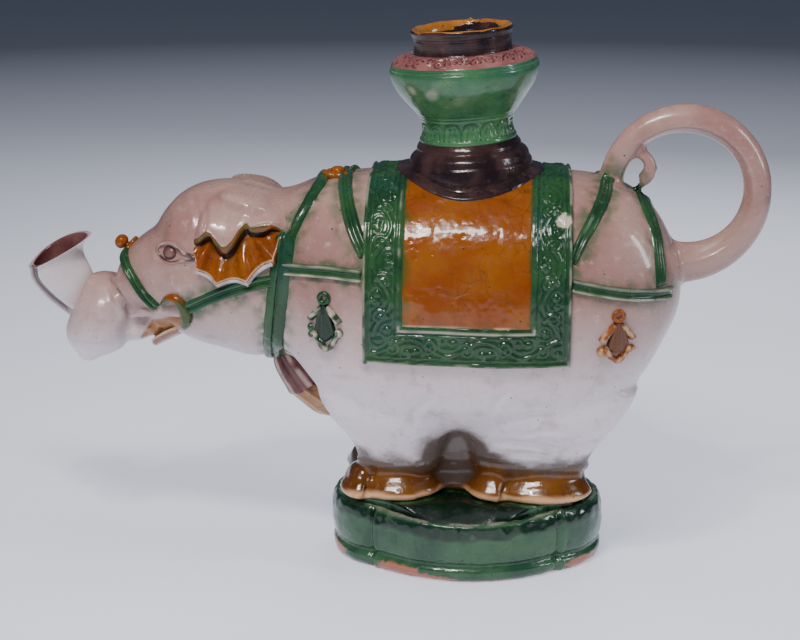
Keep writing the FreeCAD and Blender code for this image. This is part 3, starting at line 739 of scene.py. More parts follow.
footNodes = ["left_front_foot", "right_front_foot", "left_rear_foot", "right_rear_foot"]


def outerClay(names, spine, outside):
    # Only the outside of the hollow forms, with their holes closed
    bm = clayFrom(names)
    bm.normal_update()
    (frontX, frontZ), (backX, backZ) = spine
    inner = []
    for face in bm.faces:
        middle = face.calc_center_median()
        share = min(max((middle.x / mm - frontX) / (backX - frontX), 0), 1)
        seat = Vector((frontX + share * (backX - frontX), 0, frontZ + share * (backZ - frontZ))) * mm
        if face.normal.dot((middle - seat).normalized()) < outside:
            inner.append(face)
    bmesh.ops.delete(bm, geom=inner, context="FACES")
    bmesh.ops.remove_doubles(bm, verts=bm.verts, dist=0.05 * mm)
    fillHoles(bm)
    return bm


def addLumps(bm, lumps):
    for lump in lumps:
        turn = math.radians(lump["turn"])
        for vert in bmesh.ops.create_uvsphere(bm, u_segments=24, v_segments=16, radius=1)["verts"]:
            x, y, z = [value * axis for value, axis in zip(vert.co, lump["axes"])]
            ahead, up = x * math.cos(turn) - z * math.sin(turn), x * math.sin(turn) + z * math.cos(turn)
            vert.co = (Vector(lump["middle"]) + Vector((ahead, y, up))) * mm


def swelling(x, z, middle, stretch, ring, width, height):
    # A soft swelling or, below zero, a hollow; one with a ring runs round its middle
    return height * bump(math.hypot((x - middle[0]) / stretch, z - middle[1]) - ring, width)


def faceLift(x, y, z, plan):
    # Eye sockets, cheeks and the hollow of the brow
    if x > plan["back"]:
        return 0
    lift = swelling(x, z, *plan["brow"]) * ease((plan["browBack"] - x) / 8)
    if abs(y) > plan["inner"]:
        (eyeX, eyeZ), (slantX, slantZ), (halfX, halfZ) = plan["eye"], plan["slant"], plan["socketHalf"]
        along = (x - eyeX) + slantX * (z - eyeZ)
        rise = (z - eyeZ) - slantZ * (x - eyeX)
        if abs(along) < halfX and abs(rise) < halfZ:
            lift += sum(swelling(along, rise, *row) for row in plan["socket"])
        lift += sum(swelling(x, z, *row) for row in plan["cheek"])
    return lift


def besideBell(x, z, middle, slope):
    # Distances across and along the line in which the chest's bell hangs
    runX, runZ = x - middle[0], z - middle[1]
    return abs(slope[0] * runX + slope[1] * runZ), abs(slope[1] * runX - slope[0] * runZ)


def chestLift(x, y, z, plan):
    if x > facePlan["back"] or not plan["low"] < z < plan["high"]:
        return 0
    across, along = besideBell(x, z, plan["middle"], plan["slope"])
    hollow = bump(across, plan["width"]) * bump(along / plan["length"], 1)
    return -plan["depth"] * hollow * ease((plan["half"] - abs(y)) / 12)


def foldLift(x, y, z, folds):
    # Creases, each with a soft roll beside it; they stay off the middle of the face
    lift = 0
    if abs(y) > (0 if x < -124 else 3 if x < -120 else 8):
        for (startX, startZ), (endX, endZ), depth, width in folds:
            runX, runZ = endX - startX, endZ - startZ
            long = math.hypot(runX, runZ)
            along = ((x - startX) * runX + (z - startZ) * runZ) / long ** 2
            if -0.3 < along < 1.3:
                off = ((x - startX) * runZ - (z - startZ) * runX) / long + 1.2 * math.sin(along * math.pi)
                ends = ease(min(along + 0.3, 1.3 - along) / 0.5)
                lift += ends * depth * (0.6 * bump(off - width * 1.3, width) - bump(off, width * 0.8))
    return lift


def tailLift(x, y, z, plan):
    reach = math.hypot(x - plan["middle"][0], z - plan["middle"][1])
    if x < plan["front"] or reach > plan["reach"] or abs(y) > plan["half"]:
        return 0
    ridge = plan["ridgeHeight"] * bump(reach - plan["ridge"], 1.1)
    return ridge - plan["grooveDepth"] * bump(reach - plan["groove"], 1.6)


def footLift(x, y, z, facing, plan):
    # Toes that swell over the deck, the waist above them and the grooves between them
    if z > plan["top"] + 3 or abs(x) > plan["half"] or abs(y) < plan["inner"]:
        return 0
    above = z - plan["deck"]
    groove = max(bump(x - seat - plan["grooveLean"] * above + 1.2, 1.3) for seat in plan["grooves"])
    toe, waist, ankle = [swell * bump(z - height, width) for height, width, swell in plan["rings"]]
    cut = plan["grooveDepth"] * groove ** 1.6 * ease((plan["grooveTop"] - z) / 6)
    share = ease(1 - abs(facing.z)) * ease((abs(y) - plan["inner"]) / 4)
    return share * (toe + (1 - groove) * waist + ankle - cut)


def shapeSkin(bm, plan):
    # Hand-worked touches on the joined clay
    bm.normal_update()
    keel = plan["keel"]
    for vert in bm.verts:
        x, y, z = vert.co / mm
        lift = faceLift(x, y, z, facePlan) + chestLift(x, y, z, chestHollow)
        lift += foldLift(x, y, z, plan["folds"]) + tailLift(x, y, z, tailPlan)
        lift += footLift(x, y, z, vert.normal, footPlan)
        vert.co += vert.normal * lift * mm
        if x < keel["front"] and z < keel["top"]:
            vert.co.y *= 1 - keel["pinch"] * ease((keel["top"] - z) / keel["fade"])


def makeSkin(plan):
    bm = outerClay(hollowNodes, plan["spine"], plan["outside"])
    limbs = clayFrom(limbNodes + footNodes)
    addLumps(limbs, plan["lumps"])
    pour(bm, limbs)
    pushOut(bm, lambda vert: plan["swell"])
    bm = fuse(bm, plan["grain"])
    keepLargest(bm)
    pushOut(bm, lambda vert: -plan["swell"])
    soften(bm, plan["softTurns"])
    web = [vert for vert in bm.verts if abs(vert.co.x / mm + 4) < 15 and vert.co.z < 62 * mm]
    soften(bm, plan["webTurns"], web, 1.0)
    shapeSkin(bm, plan)
    return bm


skinClay = makeSkin(elephantSkin)
print("skin has", len(skinClay.verts), "points")
skinTree = BVHTree.FromBMesh(skinClay)


# Straps of the harness, laid on the skin

def onFlank(x, z, side):
    # Where a line along Y meets the skin, and the way the skin faces there
    place, facing, index, reach = skinTree.ray_cast(Vector((x, side * 200, z)) * mm, Vector((0, -side, 0)))
    if place is None or place.y * side < 0:
        place, facing, index, reach = skinTree.find_nearest(Vector((x, side * 2, z)) * mm)
    return place, facing


def underTop(x, y):
    # Where a line straight down meets the back, and the way the skin faces there
    place, facing, index, reach = skinTree.ray_cast(Vector((x, y, 200 * mm)), Vector((0, 0, -1)))
    return place, facing


strapProfiles = {  # share across and height
    "double": [
        (0, -0.5), (0.07, 0.8), (0.2, 1.75), (0.34, 1.6), (0.44, 0.75), (0.56, 0.75), (0.66, 1.6), (0.8, 1.8),
        (0.93, 0.8), (1, -0.5),
    ],
    "round": [(0, -0.5), (0.12, 0.7), (0.3, 1.5), (0.5, 1.85), (0.7, 1.5), (0.88, 0.7), (1, -0.5)],
    "ledge": [
        (0, -0.5), (0.06, 1.0), (0.16, 1.8), (0.3, 1.5), (0.38, 0.75), (0.62, 0.7), (0.72, 1.4), (0.86, 1.6),
        (0.95, 0.7), (1, -0.5),
    ],
    "collar": [
        (0, -0.5), (0.06, 0.7), (0.2, 1.5), (0.4, 1.7), (0.46, 1.1), (0.5, 0.1), (0.54, 1.1), (0.6, 1.75),
        (0.8, 1.5), (0.94, 0.7), (1, -0.5),
    ],
}
sideStraps = {
    "cheek_strap": {
        "points": [(-102.4, 99.8), (-93, 104.6), (-82, 108.8), (-68.6, 112.2)],
        "width": 5.0, "profile": "double", "bleed": 0.9, "reach": 3.0,
    },
    "shoulder_strap_front": {
        "points": [(-50.6, 148.6), (-54.2, 144.2), (-58.2, 138.0), (-61.8, 131.0), (-64.2, 124.5)],
        "width": 3.9, "profile": "round", "bleed": 0.8, "reach": 3.4,
    },
    "shoulder_strap_rear": {
        "points": [(-46.4, 148.6), (-44.6, 144.5), (-42.2, 138.0), (-39.2, 131.0), (-35.2, 124.0)],
        "width": 5.6, "profile": "double", "bleed": 0.7, "reach": 3.2,
    },
    "breast_strap": {
        "points": [(-66.2, 116.6), (-52, 117.6), (-36.4, 117.2)],
        "width": 5.0, "profile": "ledge", "bleed": 0.8, "reach": 2.6,
    },
    "crupper_strap": {
        "points": [(36.4, 115.6), (44.6, 113.9), (51.9, 112.4), (58.6, 111.2), (65.1, 110.3), (73.4, 109.2)],
        "width": 5.0, "profile": "ledge", "bleed": 0.55, "reach": 2.2,
    },
    "croup_strap": {
        "points": [(50.9, 147.6), (48.0, 142.6), (43.9, 136.3), (39.9, 129.9), (36.8, 122.6)],
        "width": 5.2, "profile": "double", "rise": 0.7, "bleed": 0.8, "reach": 3.0,
        "thin": [(0, 0.9), (0.3, 1.05), (0.8, 0.8), (1, 0.55)],
    },
    "thigh_strap": {
        "points": [
            (60.0, 143.4), (62.2, 139.8), (64.8, 135.2), (66.7, 130.3), (67.6, 124.5), (68.3, 118.6),
            (68.8, 112.0),
        ],
        "width": 3.9, "profile": "double", "rise": 0.62, "bleed": 0.8, "reach": 3.0,
        "thin": [(0, 0.35), (0.25, 0.8), (0.5, 1.0), (1, 1.1)],
    },
}
bleedSpots = []


def strapClay(bm, plan, side, startOpen=False):
    # Lays a grid along the line and lifts it by the strap's profile
    points, width, rows = plan["points"], plan["width"], strapProfiles[plan["profile"]]
    thin, rise = plan.get("thin", [(0, 1), (1, 1)]), plan.get("rise", 1.0)
    length = sum((Vector(end) - Vector(start)).length for start, end in zip(points, points[1:]))
    made = bmesh.ops.create_grid(bm, x_segments=max(int(length / 0.6), 6), y_segments=20, size=0.5)["verts"]
    cream = bm.verts.layers.float.get("cream")
    for vert in made:
        along, over = vert.co.x + 0.5, vert.co.y + 0.5
        if cream:
            vert[cream] = over
        here = spread(points, along)
        ahead = (spread(points, along + 0.02) - spread(points, along - 0.02)).normalized()
        wobble = 1 + 0.10 * noise.noise(Vector((along * length / 7, width, side * 3)))
        off = (over - 0.5) * width * wobble * between(thin, along)
        place, facing = onFlank(here.x + ahead.y * off, here.y - ahead.x * off, side)
        tail = min(along * length / 1.6 + startOpen, (1 - along) * length / 1.6, 1)
        lift = (between(rows, over) + 0.5) * rise * ease(tail) - 0.5
        lift += 0.12 * noise.noise(place / mm / 3.0)
        vert.co = place + facing * lift * mm
    if side > 0:
        flip(bm, made)
    return made


def faceOut(bm):
    # Turns an open sheet so that it faces away from the skin
    bm.normal_update()
    total = 0
    for face in bm.faces:
        place, facing, index, reach = skinTree.find_nearest(face.calc_center_median())
        total += face.normal.dot(facing)
    if total < 0:
        bmesh.ops.reverse_faces(bm, faces=bm.faces)


def bleedAlong(points, side, count, amount, reach):
    # Notes where a strap's glaze has run onto the skin
    for spot in curve(points, count):
        bleedSpots.append((onFlank(spot.x, spot.y, side)[0], amount, reach))


def makeSideStraps(plans):
    for name, plan in plans.items():
        for sideName, side in sides.items():
            bm = bmesh.new()
            cream = marks(bm, "cream")
            for vert in strapClay(bm, plan, side):
                over = vert[cream]
                vert[cream] = 0
                if plan["profile"] == "ledge":
                    ragged = 0.75 + 0.9 * noise.noise(vert.co / mm / 5)
                    vert[cream] = ragged * (0.85 * bump(over - 0.83, 0.09) + 0.5 * bump(over - 0.16, 0.08))
            faceOut(bm)
            markHollows(bm, 1)
            finishPiece(sideName + "Strap_" + name, bm, [greenGlaze], "green_glaze", [sideName + "_" + name])
            bleedAlong(plan["points"], side, 39, plan["bleed"], plan["reach"] + plan["width"] / 2)


noseBand = {
    "points": [(-128.6, 117.4), (-127.0, 115.2), (-123.0, 109.8), (-119.0, 104.2), (-113.4, 98.6)],
    "width": 3.8, "profile": "double", "bleed": 0.35, "reach": 3.2,
}
neckBand = {
    "top": (-65.2, 129.0), "bottom": (-72.4, 74.0), "middle": 104.0, "width": 8.4, "angle": 139,
    "profile": "collar", "bleed": 1.0, "reach": 6.4,
}


def makeNoseBand(plan):
    bm = bmesh.new()
    for side in sides.values():
        strapClay(bm, plan, side, startOpen=True)
        bleedAlong(plan["points"], side, 29, plan["bleed"], plan["reach"])
    faceOut(bm)
    markHollows(bm, 1)
    finishPiece("noseBand", bm, [greenGlaze], "green_glaze", ["noseband"])


def makeNeckBand(plan):
    # Runs from behind one ear, under the throat, to the other ear
    (topX, topZ), (bottomX, bottomZ) = plan["top"], plan["bottom"]
    bm = bmesh.new()
    bmesh.ops.create_grid(bm, x_segments=190, y_segments=22, size=0.5)
    for vert in bm.verts:
        angle = math.radians(vert.co.x * 2 * plan["angle"])
        over = vert.co.y + 0.5
        out = Vector((0, math.sin(angle), -math.cos(angle)))
        height = plan["middle"]
        for turn in range(3):  # the band leans, so its place and its height are found together
            x = bottomX + (topX - bottomX) * (height - bottomZ) / (topZ - bottomZ)
            x += (over - 0.5) * plan["width"] * (1 + 0.12 * noise.noise(Vector((angle * 4, 0, 0))))
            start = Vector((x, 0, plan["middle"])) * mm + out * 0.15
            place, facing, index, reach = skinTree.ray_cast(start, -out)
            height = place.z / mm
        tail = ease(min(1, (1 - abs(vert.co.x) * 2) * 24))
        lift = (between(strapProfiles[plan["profile"]], over) + 0.5) * tail - 0.5
        lift += 0.15 * noise.noise(place / mm / 3.0)
        if abs(over - 0.5) < 0.02:
            bleedSpots.append((place.copy(), plan["bleed"], plan["reach"]))
        vert.co = place + facing * lift * mm
    faceOut(bm)
    markHollows(bm, 1)
    finishPiece("neckBand", bm, [greenGlaze], "green_glaze", ["neck_band"])


makeSideStraps(sideStraps)
makeNoseBand(noseBand)
makeNeckBand(neckBand)
print("harness straps are laid")


# Ears: a skin-coloured flap over an amber frill

earPlan = {
    "flapTop": [(-97.4, 134.6), (-93.4, 141.4), (-85, 145.4), (-76, 143.6), (-68.0, 137.6), (-63.8, 131.6)],
    "lip": [
        (-99.2, 126.0), (-96.4, 127.2), (-93.0, 129.6), (-90.4, 127.8), (-87.2, 124.8), (-84.4, 126.6),
        (-81.2, 131.2), (-79.4, 132.3), (-77.6, 131.0), (-72.5, 131.8), (-68.6, 131.0), (-66.0, 129.4),
    ],
    "flapEdge": [
        (-99.6, 122.6), (-96.0, 123.2), (-92.2, 125.0), (-89.8, 121.0), (-86.6, 118.8), (-83.8, 120.6),
        (-81.2, 125.2), (-79.2, 127.6), (-77.4, 126.7), (-73.6, 126.2), (-70.8, 128.6), (-66.0, 128.4),
    ],
    "frillTop": [
        (-99.4, 124.0), (-96.0, 124.6), (-92.0, 126.6), (-89.8, 122.6), (-87.6, 120.8), (-84.6, 121.4),
        (-82.0, 125.4), (-79.6, 129.0), (-77.6, 128.6), (-72.4, 128.4), (-66.6, 130.2),
    ],
    "tips": [(-99.0, 122.0), (-97.2, 115.8), (-89.6, 110.8), (-78.4, 111.4), (-67.8, 119.4), (-66.2, 130.0)],
    "scoops": [0.03, 0.01, 0.07, 0.08, 0.02], "heart": (-82.5, 128.0), "flapLift": 4.8, "frillLift": 4.4,
    "rim": 0.78, "flute": 3.0, "white": 0.935, "brim": 1.2, "back": -69.5, "top": 122,
    "frillWall": 2.1, "flapWall": 2.4,
}


def earSkin(x, z, side):
    # The flank under the ear, evened out so that folds don't spring from its bumps
    spots = [onFlank(x + dx, z + dz, side) for dx, dz in ((0, 0), (2.5, 0), (-2.5, 0), (0, 2.5), (0, -2.5))]
    facing = sum((facing for place, facing in spots), Vector()).normalized()
    return spots[0][0], facing


def earPatch(bm, top, low, across, down, side, lift):
    # A sheet from one line to another, lifted off the flank; keeps how far down each point is
    bmesh.ops.create_grid(bm, x_segments=across, y_segments=down, size=0.5)
    dropMark = marks(bm, "drop")
    for vert in bm.verts:
        along = vert.co.x + 0.5
        drop = 0.5 - vert.co.y
        vert[dropMark] = drop
        start, end = top(along, drop), low(along, drop)
        x, z = start[0] + (end[0] - start[0]) * end[2], start[1] + (end[1] - start[1]) * end[2]
        place, facing = earSkin(x, z, side)
        vert.co = place + (facing * 0.35 + Vector((0, side * 0.65, 0))) * lift(along, drop) * mm


def makeEarFrill(plan, sideName, side):
    tips, white = plan["tips"], plan["white"]
    bays = len(tips) - 1

    def under(drop):
        return ease((drop - white) / (1 - white))

    def top(along, drop):
        return spread(plan["frillTop"], along)

    def edge(along, drop):
        spot = min(along, 0.9999) * bays
        index = int(spot)
        part = spot - index
        point = Vector(tips[index]).lerp(Vector(tips[index + 1]), part)
        point = point.lerp(Vector(plan["heart"]), plan["scoops"][index] * math.sin(math.pi * part) ** 0.7)
        low = ease(along * 6) * ease((0.9 - along) * 8)
        return point.x, point.y - plan["brim"] * low * under(drop), drop

    def lift(along, drop):
        rib = abs(math.cos(math.pi * along * bays))
        fold = plan["flute"] * (rib ** 3 - 0.35) * ease(drop * 1.7)
        ends = ease(min(along, 1 - along) * 12)
        return -1.0 + ends * (0.9 + plan["frillLift"] * drop ** 1.1 * 0.85 + fold) * (1 - 0.35 * under(drop))

    bm = bmesh.new()
    earPatch(bm, top, edge, 150, 44, side, lift)
    dropMark, cream, pale = marks(bm, "drop", "cream", "pale")
    for vert in bm.verts:
        vert[pale] = 1
        vert[cream] = 0.8 * bump(vert[dropMark] - white + 0.02, 0.02)
    for face in bm.faces:
        middle = face.calc_center_median() / mm
        if min(vert[dropMark] for vert in face.verts) > white and middle.x < plan["back"]:
            face.material_index = 1
        elif middle.x > plan["back"] or middle.z > plan["top"]:
            face.material_index = 3
    faceOut(bm)
    markHollows(bm)
    poolAndShade, dropMark = marks(bm, "poolAndShade", "drop")
    # Painted shadow: the top of the frill, under the flap's edge, is darkened
    for vert in bm.verts:
        vert[poolAndShade] += 0.30 * ease((0.35 - vert[dropMark]) / 0.25) + 0.12 * noise.noise(vert.co / mm / 3.5)
    glazes = [amberGlaze, ivoryGlaze, ivoryGlaze, amberGlaze, amberGlaze]
    frill = finishPiece(sideName + "EarFrill", bm, glazes, "amber_glaze", [sideName + "_ear_frill"])
    thicken(frill, plan["frillWall"])


def makeEarFlap(plan, sideName, side):
    rim = plan["rim"]

    def top(along, drop):
        return spread(plan["flapTop" if drop < rim else "lip"], along)

    def edge(along, drop):
        if drop < rim:
            return *spread(plan["lip"], along), drop / rim
        return *spread(plan["flapEdge"], along), (drop - rim) / (1 - rim)

    def lift(along, drop):
        end = ease(min(along, 1 - along) * 7)
        under = max(drop - rim, 0) / (1 - rim)
        height = plan["flapLift"] * ease(drop * 1.4) ** 0.8 * (1 - 0.95 * under ** 1.5)
        return -0.5 + end * (height + 0.6 * bump(under - 0.25, 0.3) * (under > 0))

    bm = bmesh.new()
    earPatch(bm, top, edge, 130, 54, side, lift)
    dropMark = marks(bm, "drop")
    # The lower part of the rim band gets the dark glaze: a painted shadow under the flap's edge
    for face in bm.faces:
        low = min(vert[dropMark] for vert in face.verts)
        face.material_index = 0 if low < rim - 0.001 else 1 if low < rim + 0.42 * (1 - rim) else 2
    faceOut(bm)
    markHollows(bm)
    poolAndShade, dropMark, green = marks(bm, "poolAndShade", "drop", "greenBleed")
    for vert in bm.verts:
        under = ease((vert[dropMark] - rim) / (1 - rim))
        vert[green] = 0.75 * ease(0.7 + 1.2 * noise.noise(vert.co / mm / 4)) * (under > 0) * (1 - 0.5 * under)
        # Painted shadow: the rim band darkens towards its lower edge
        vert[poolAndShade] += 0.5 * under
    glazes = [ivoryGlaze, amberGlaze, darkGlaze, darkGlaze]
    flap = finishPiece(sideName + "EarFlap", bm, glazes, "ivory_glaze", [sideName + "_ear_fold"])
    thicken(flap, plan["flapWall"])


for sideName, side in sides.items():
    makeEarFrill(earPlan, sideName, side)
    makeEarFlap(earPlan, sideName, side)
print("ears are folded")


# Eyes with raised lids

eyePlan = {
    "ball": 3.3, "sink": 1.0, "flat": 0.88, "halfLength": 5.2, "halfHeight": 3.3,
    "lid": 0.55, "tail": 4.6, "tilt": 7, "steps": 56, "shine": 2.1,
}


def tube(bm, points, radii, closed=False, around=10):
    rings = []
    count = len(points)
    for index, point in enumerate(points):
        if closed:
            ahead = points[(index + 1) % count] - points[index - 1]
        else:
            ahead = points[min(index + 1, count - 1)] - points[max(index - 1, 0)]
        turn = ahead.to_track_quat("Z", "Y").to_matrix().to_4x4()
        turn.translation = point
        made = bmesh.ops.create_circle(bm, segments=around, radius=radii[index], matrix=turn)["verts"]
        rings.append(list({edge for vert in made for edge in vert.link_edges}))
    pairs = list(zip(rings, rings[1:]))
    if closed:
        pairs.append((rings[-1], rings[0]))
    for first, second in pairs:
        bmesh.ops.bridge_loops(bm, edges=first + second)
    if not closed:
        fillHoles(bm)
    bmesh.ops.recalc_face_normals(bm, faces=bm.faces)


def makeEyeBalls(plan, eyeX, eyeZ):
    bm = bmesh.new()
    for side in sides.values():
        place, facing = onFlank(eyeX, eyeZ, side)
        made = bmesh.ops.create_uvsphere(bm, u_segments=40, v_segments=24, radius=plan["ball"] * mm)["verts"]
        seat = place + facing * (plan["sink"] - plan["ball"] + 1.2) * mm
        for vert in made:
            vert.co.z *= plan["flat"]
            vert.co += seat
    cream = marks(bm, "cream")
    # Painted highlight: each ball is paler in its middle
    for vert in bm.verts:
        away = math.hypot(vert.co.x / mm - eyeX, vert.co.z / mm - eyeZ)
        vert[cream] = 0.16 * ease((plan["shine"] - away) / 1.4)
    markHollows(bm, 1)
    finishPiece("eyeBalls", bm, [plumGlaze], "aubergine_glaze", ["eyes"])


def makeEyeLids(plan, eyeX, eyeZ):
    # A rounded coil of clay round each eye, drawn out to a tail behind it
    bm = bmesh.new()
    turn = math.radians(plan["tilt"])
    for side in sides.values():
        points = []
        radii = []
        for index in range(plan["steps"]):
            angle = 2 * math.pi * index / plan["steps"]
            along = math.cos(angle) * plan["halfLength"]
            rise = math.sin(angle) * plan["halfHeight"] * (1 - 0.30 * abs(math.cos(angle)) ** 2)
            if along > 0:
                along += plan["tail"] * max(math.cos(angle), 0) ** 8
            x = eyeX + along * math.cos(turn) + rise * math.sin(turn)
            z = eyeZ - along * math.sin(turn) + rise * math.cos(turn)
            spot, out = onFlank(x, z, side)
            points.append(spot + out * 0.25 * mm)
            radii.append((plan["lid"] + 0.28 * max(math.sin(angle), 0)) * mm)
        tube(bm, points, radii, closed=True)
    bruise = marks(bm, "bruise")
    for vert in bm.verts:
        along, rise = vert.co.x / mm - eyeX, vert.co.z / mm - eyeZ
        inner = ease((0.98 - math.hypot(along / plan["halfLength"], rise / plan["halfHeight"])) / 0.1)
        vert[bruise] = max(inner, 0.9 * ease((along - 5.6) / 1.4), 0.7 * ease(-4.6 - along))
    markHollows(bm, 1)
    finishPiece("eyeLids", bm, [ivoryGlaze], "ivory_glaze")


makeEyeBalls(eyePlan, *facePlan["eye"])
makeEyeLids(eyePlan, *facePlan["eye"])
print("eyes are set")


# Saddle cloth, wrapped over the back, with a vine scroll in its border

saddleCloth = {
    "front": -36.6, "back": 37.2, "hem": 86.6, "spine": 110, "lift": 1.9, "grain": 0.42,
    "frame": [  # place from the edge, height and width of each line along the border
        (1.3, 0.5, 0.42), (2.35, -0.4, 0.36), (3.2, 0.35, 0.34), (11.3, 0.3, 0.36), (12.15, -0.4, 0.36),
        (13.0, 0.45, 0.42),
    ],
    "bandMiddle": 7.3, "bandHalf": 3.5, "bandEdges": (3.4, 11.2), "wave": 12.4, "line": 0.5, "cut": 0.42,
    "inside": 14.3, "insideDrop": 1.1, "chips": [((33.6, 52.0), 2.7), ((-20.5, 44.0), 0.8)],
}
saddlePanel = {
    "front": -22.9, "back": 23.4, "hem": 100.4, "spine": 110, "lift": 2.1, "grain": 0.5,
    "cracks": [
        [(-1.0, 39.5), (1.8, 41.6), (3.0, 43.4)], [(-11, 37.8), (-8.6, 39.6), (-7.0, 39.4)],
        [(-21, 20.4), (-17.2, 19.2), (-14.6, 18.2)], [(-4.6, 8.6), (-2.6, 11.2), (0.8, 12.6)],
        [(-19, 11.6), (-17, 10.0)], [(7.0, 18.4), (8.2, 20.0)], [(-3.4, 44.0), (-2.2, 46.0)],
        [(-21.6, 27.0), (-18.6, 28.4), (-16.4, 26.4)], [(-12.6, 25.4), (-10.8, 26.2)],
    ],
    "pits": [
        ((-1.2, 32.4), 0.7), ((-17.6, 24.6), 0.75), ((-9.4, 14.4), 0.7), ((-19.6, 30.2), 0.6),
        ((13.6, 37.4), 0.4), ((1.4, 15.0), 0.6),
    ],
}


def girthAt(x, plan):
    # Points from the top of the back down one flank to the hem, with their distance along
    rows = []
    length = 0
    for index in range(110):
        angle = math.radians(index * 1.4)
        ray = Vector((0, -math.sin(angle), math.cos(angle)))
        start = Vector((x, 0, plan["spine"])) * mm
        place, facing, face, reach = skinTree.ray_cast(start, ray)
        if rows:
            length += (place - rows[-1][1]).length / mm
        rows.append((length, place, facing))
        if place.z < plan["hem"] * mm and index > 30:
            break
    return rows


def wrapCloth(plan, rise):
    # Lays a grid over the back; rise gives the height at a place of the pattern
    bm = bmesh.new()
    width = plan["back"] - plan["front"]
    columns = int(width / plan["grain"])
    half = girthAt(0, plan)[-1][0]
    rows = int(2 * half / plan["grain"])
    bmesh.ops.create_grid(bm, x_segments=columns, y_segments=rows, size=0.5)
    girths = {}
    pattern = bm.verts.layers.float_vector.new("pattern")
    for vert in bm.verts:
        along, over = vert.co.x + 0.5, vert.co.y * 2
        key = round(along * columns)
        if key not in girths:
            girths[key] = girthAt(plan["front"] + along * width, plan)
        girth = girths[key]
        goal = abs(over) * girth[-1][0]
        index = min(int(goal / girth[-1][0] * (len(girth) - 1)), len(girth) - 2)
        while index > 0 and girth[index][0] > goal:
            index -= 1
        while index < len(girth) - 2 and girth[index + 1][0] < goal:
            index += 1
        low, high = girth[index], girth[index + 1]
        part = (goal - low[0]) / (high[0] - low[0])
        place = low[1].lerp(high[1], part)
        facing = low[2].lerp(high[2], part).normalized()
        if over > 0:
            place.y, facing.y = -place.y, -facing.y
        x = plan["front"] + along * width
        vert[pattern] = (x, girth[-1][0] - goal, over)
        vert.co = place + facing * rise(x, girth[-1][0] - goal, place) * mm
    faceOut(bm)
    return bm


def spiral(middle, start, end, turns, begin):
    points = []
    steps = int(14 * abs(turns) * max(start, 1)) + 8
    for index in range(steps + 1):
        share = index / steps
        reach = start + (end - start) * share ** 0.85
        angle = begin + turns * 2 * math.pi * share
        points.append((middle[0] + reach * math.cos(angle), middle[1] + reach * math.sin(angle)))
    return points


def vine(length, wave, half):
    # A waving stem with a curl in each bend, along and across one band
    count = max(round(length / wave), 1)
    wave = length / count
    steps = int(length * 5)
    stem = [length * index / steps for index in range(steps + 1)]
    lines = [[(along, -half * 0.86 * math.cos(math.pi * along / wave)) for along in stem]]
    for index in range(count):
        up = 1 if index % 2 else -1
        middle = ((index + 0.52) * wave, 0.22 * half * up)
        lines.append(spiral(middle, half * 0.80, 0.35, 1.35 * up, math.pi * (1 + 0.5 * up)))
        small = ((index + 0.93) * wave, half * 0.62 * up)
        lines.append(spiral(small, half * 0.36, 0.2, -0.95 * up, math.pi * 0.4 * up))
        leaf = ((index + 0.14) * wave, -half * 0.55 * up)
        lines.append(spiral(leaf, half * 0.27, 0.15, 0.8 * up, 0.5))
    return lines


def carved(distance, line, cut):
    return line * bump(distance, 0.46) - cut * bump(distance - 1.05, 0.4)


def makeSaddleCloth(plan):
    front, back = plan["front"], plan["back"]
    half = girthAt(0, plan)[-1][0]
    middle, band, (bandStart, bandEnd) = plan["bandMiddle"], plan["bandHalf"], plan["bandEdges"]
    lines = []
    for line in vine(half - 12, plan["wave"], band):
        lines.append([(front + middle + across, 11 + along) for along, across in line])
        lines.append([(back - middle - across, 11 + along) for along, across in line])
    for line in vine(back - front - 8, plan["wave"], band):
        lines.append([(front + 4 + along, middle + across) for along, across in line])
    tree = lineTree(lines, 0.15)

    def chipAway(x, hem, chip, place):
        # How far inside a chip a point lies
        (chipX, chipHem), reach = chip
        return reach - math.hypot(x - chipX, hem - chipHem) - 0.7 * noise.noise(place / mm / 1.2)

    def rise(x, hem, place):
        edge = min(x - front, back - x, hem)
        lift = plan["lift"] * ease(edge / 0.9 + 0.15) - 0.6 * (edge < 0.2)
        shake = 0.22 * noise.noise(place / mm / 5)
        for seat, height, wide in plan["frame"]:
            lift += height * bump(edge - seat + shake, wide)
        if bandStart < edge < bandEnd:
            found, index, distance = tree.find((x, hem, 0))
            lift += carved(distance, plan["line"], plan["cut"])
        lift -= plan["insideDrop"] * ease((edge - plan["inside"]) / 1.5)
        for chip in plan["chips"]:
            lift -= 0.35 * ease(chipAway(x, hem, chip, place) / 0.5)
        return lift + 0.14 * noise.noise(place / mm / 2.2)

    bm = wrapCloth(plan, rise)
    pattern = bm.verts.layers.float_vector["pattern"]
    cream = marks(bm, "cream")
    for vert in bm.verts:
        x, hem, over = vert[pattern]
        value = 0
        if over < 0:
            value = max(ease((chipAway(x, hem, chip, vert.co) + 0.3) / 0.5) for chip in plan["chips"])
        edge = min(x - front, back - x, hem)
        if edge < 1.6:
            value = max(value, 0.55 * bump(edge - 0.9, 0.5) * ease(noise.noise(vert.co / mm / 5) * 2 + 0.5))
        worn = ease(noise.noise(vert.co / mm / 7) * 2 + (0.7 if hem < 15 else -0.2))
        vert[cream] = max(value, 0.8 * bump(edge - 13.1, 0.4) * worn)
    markHollows(bm, 1)
    finishPiece("saddleCloth", bm, [greenGlaze], "green_glaze", ["saddle_cloth"])


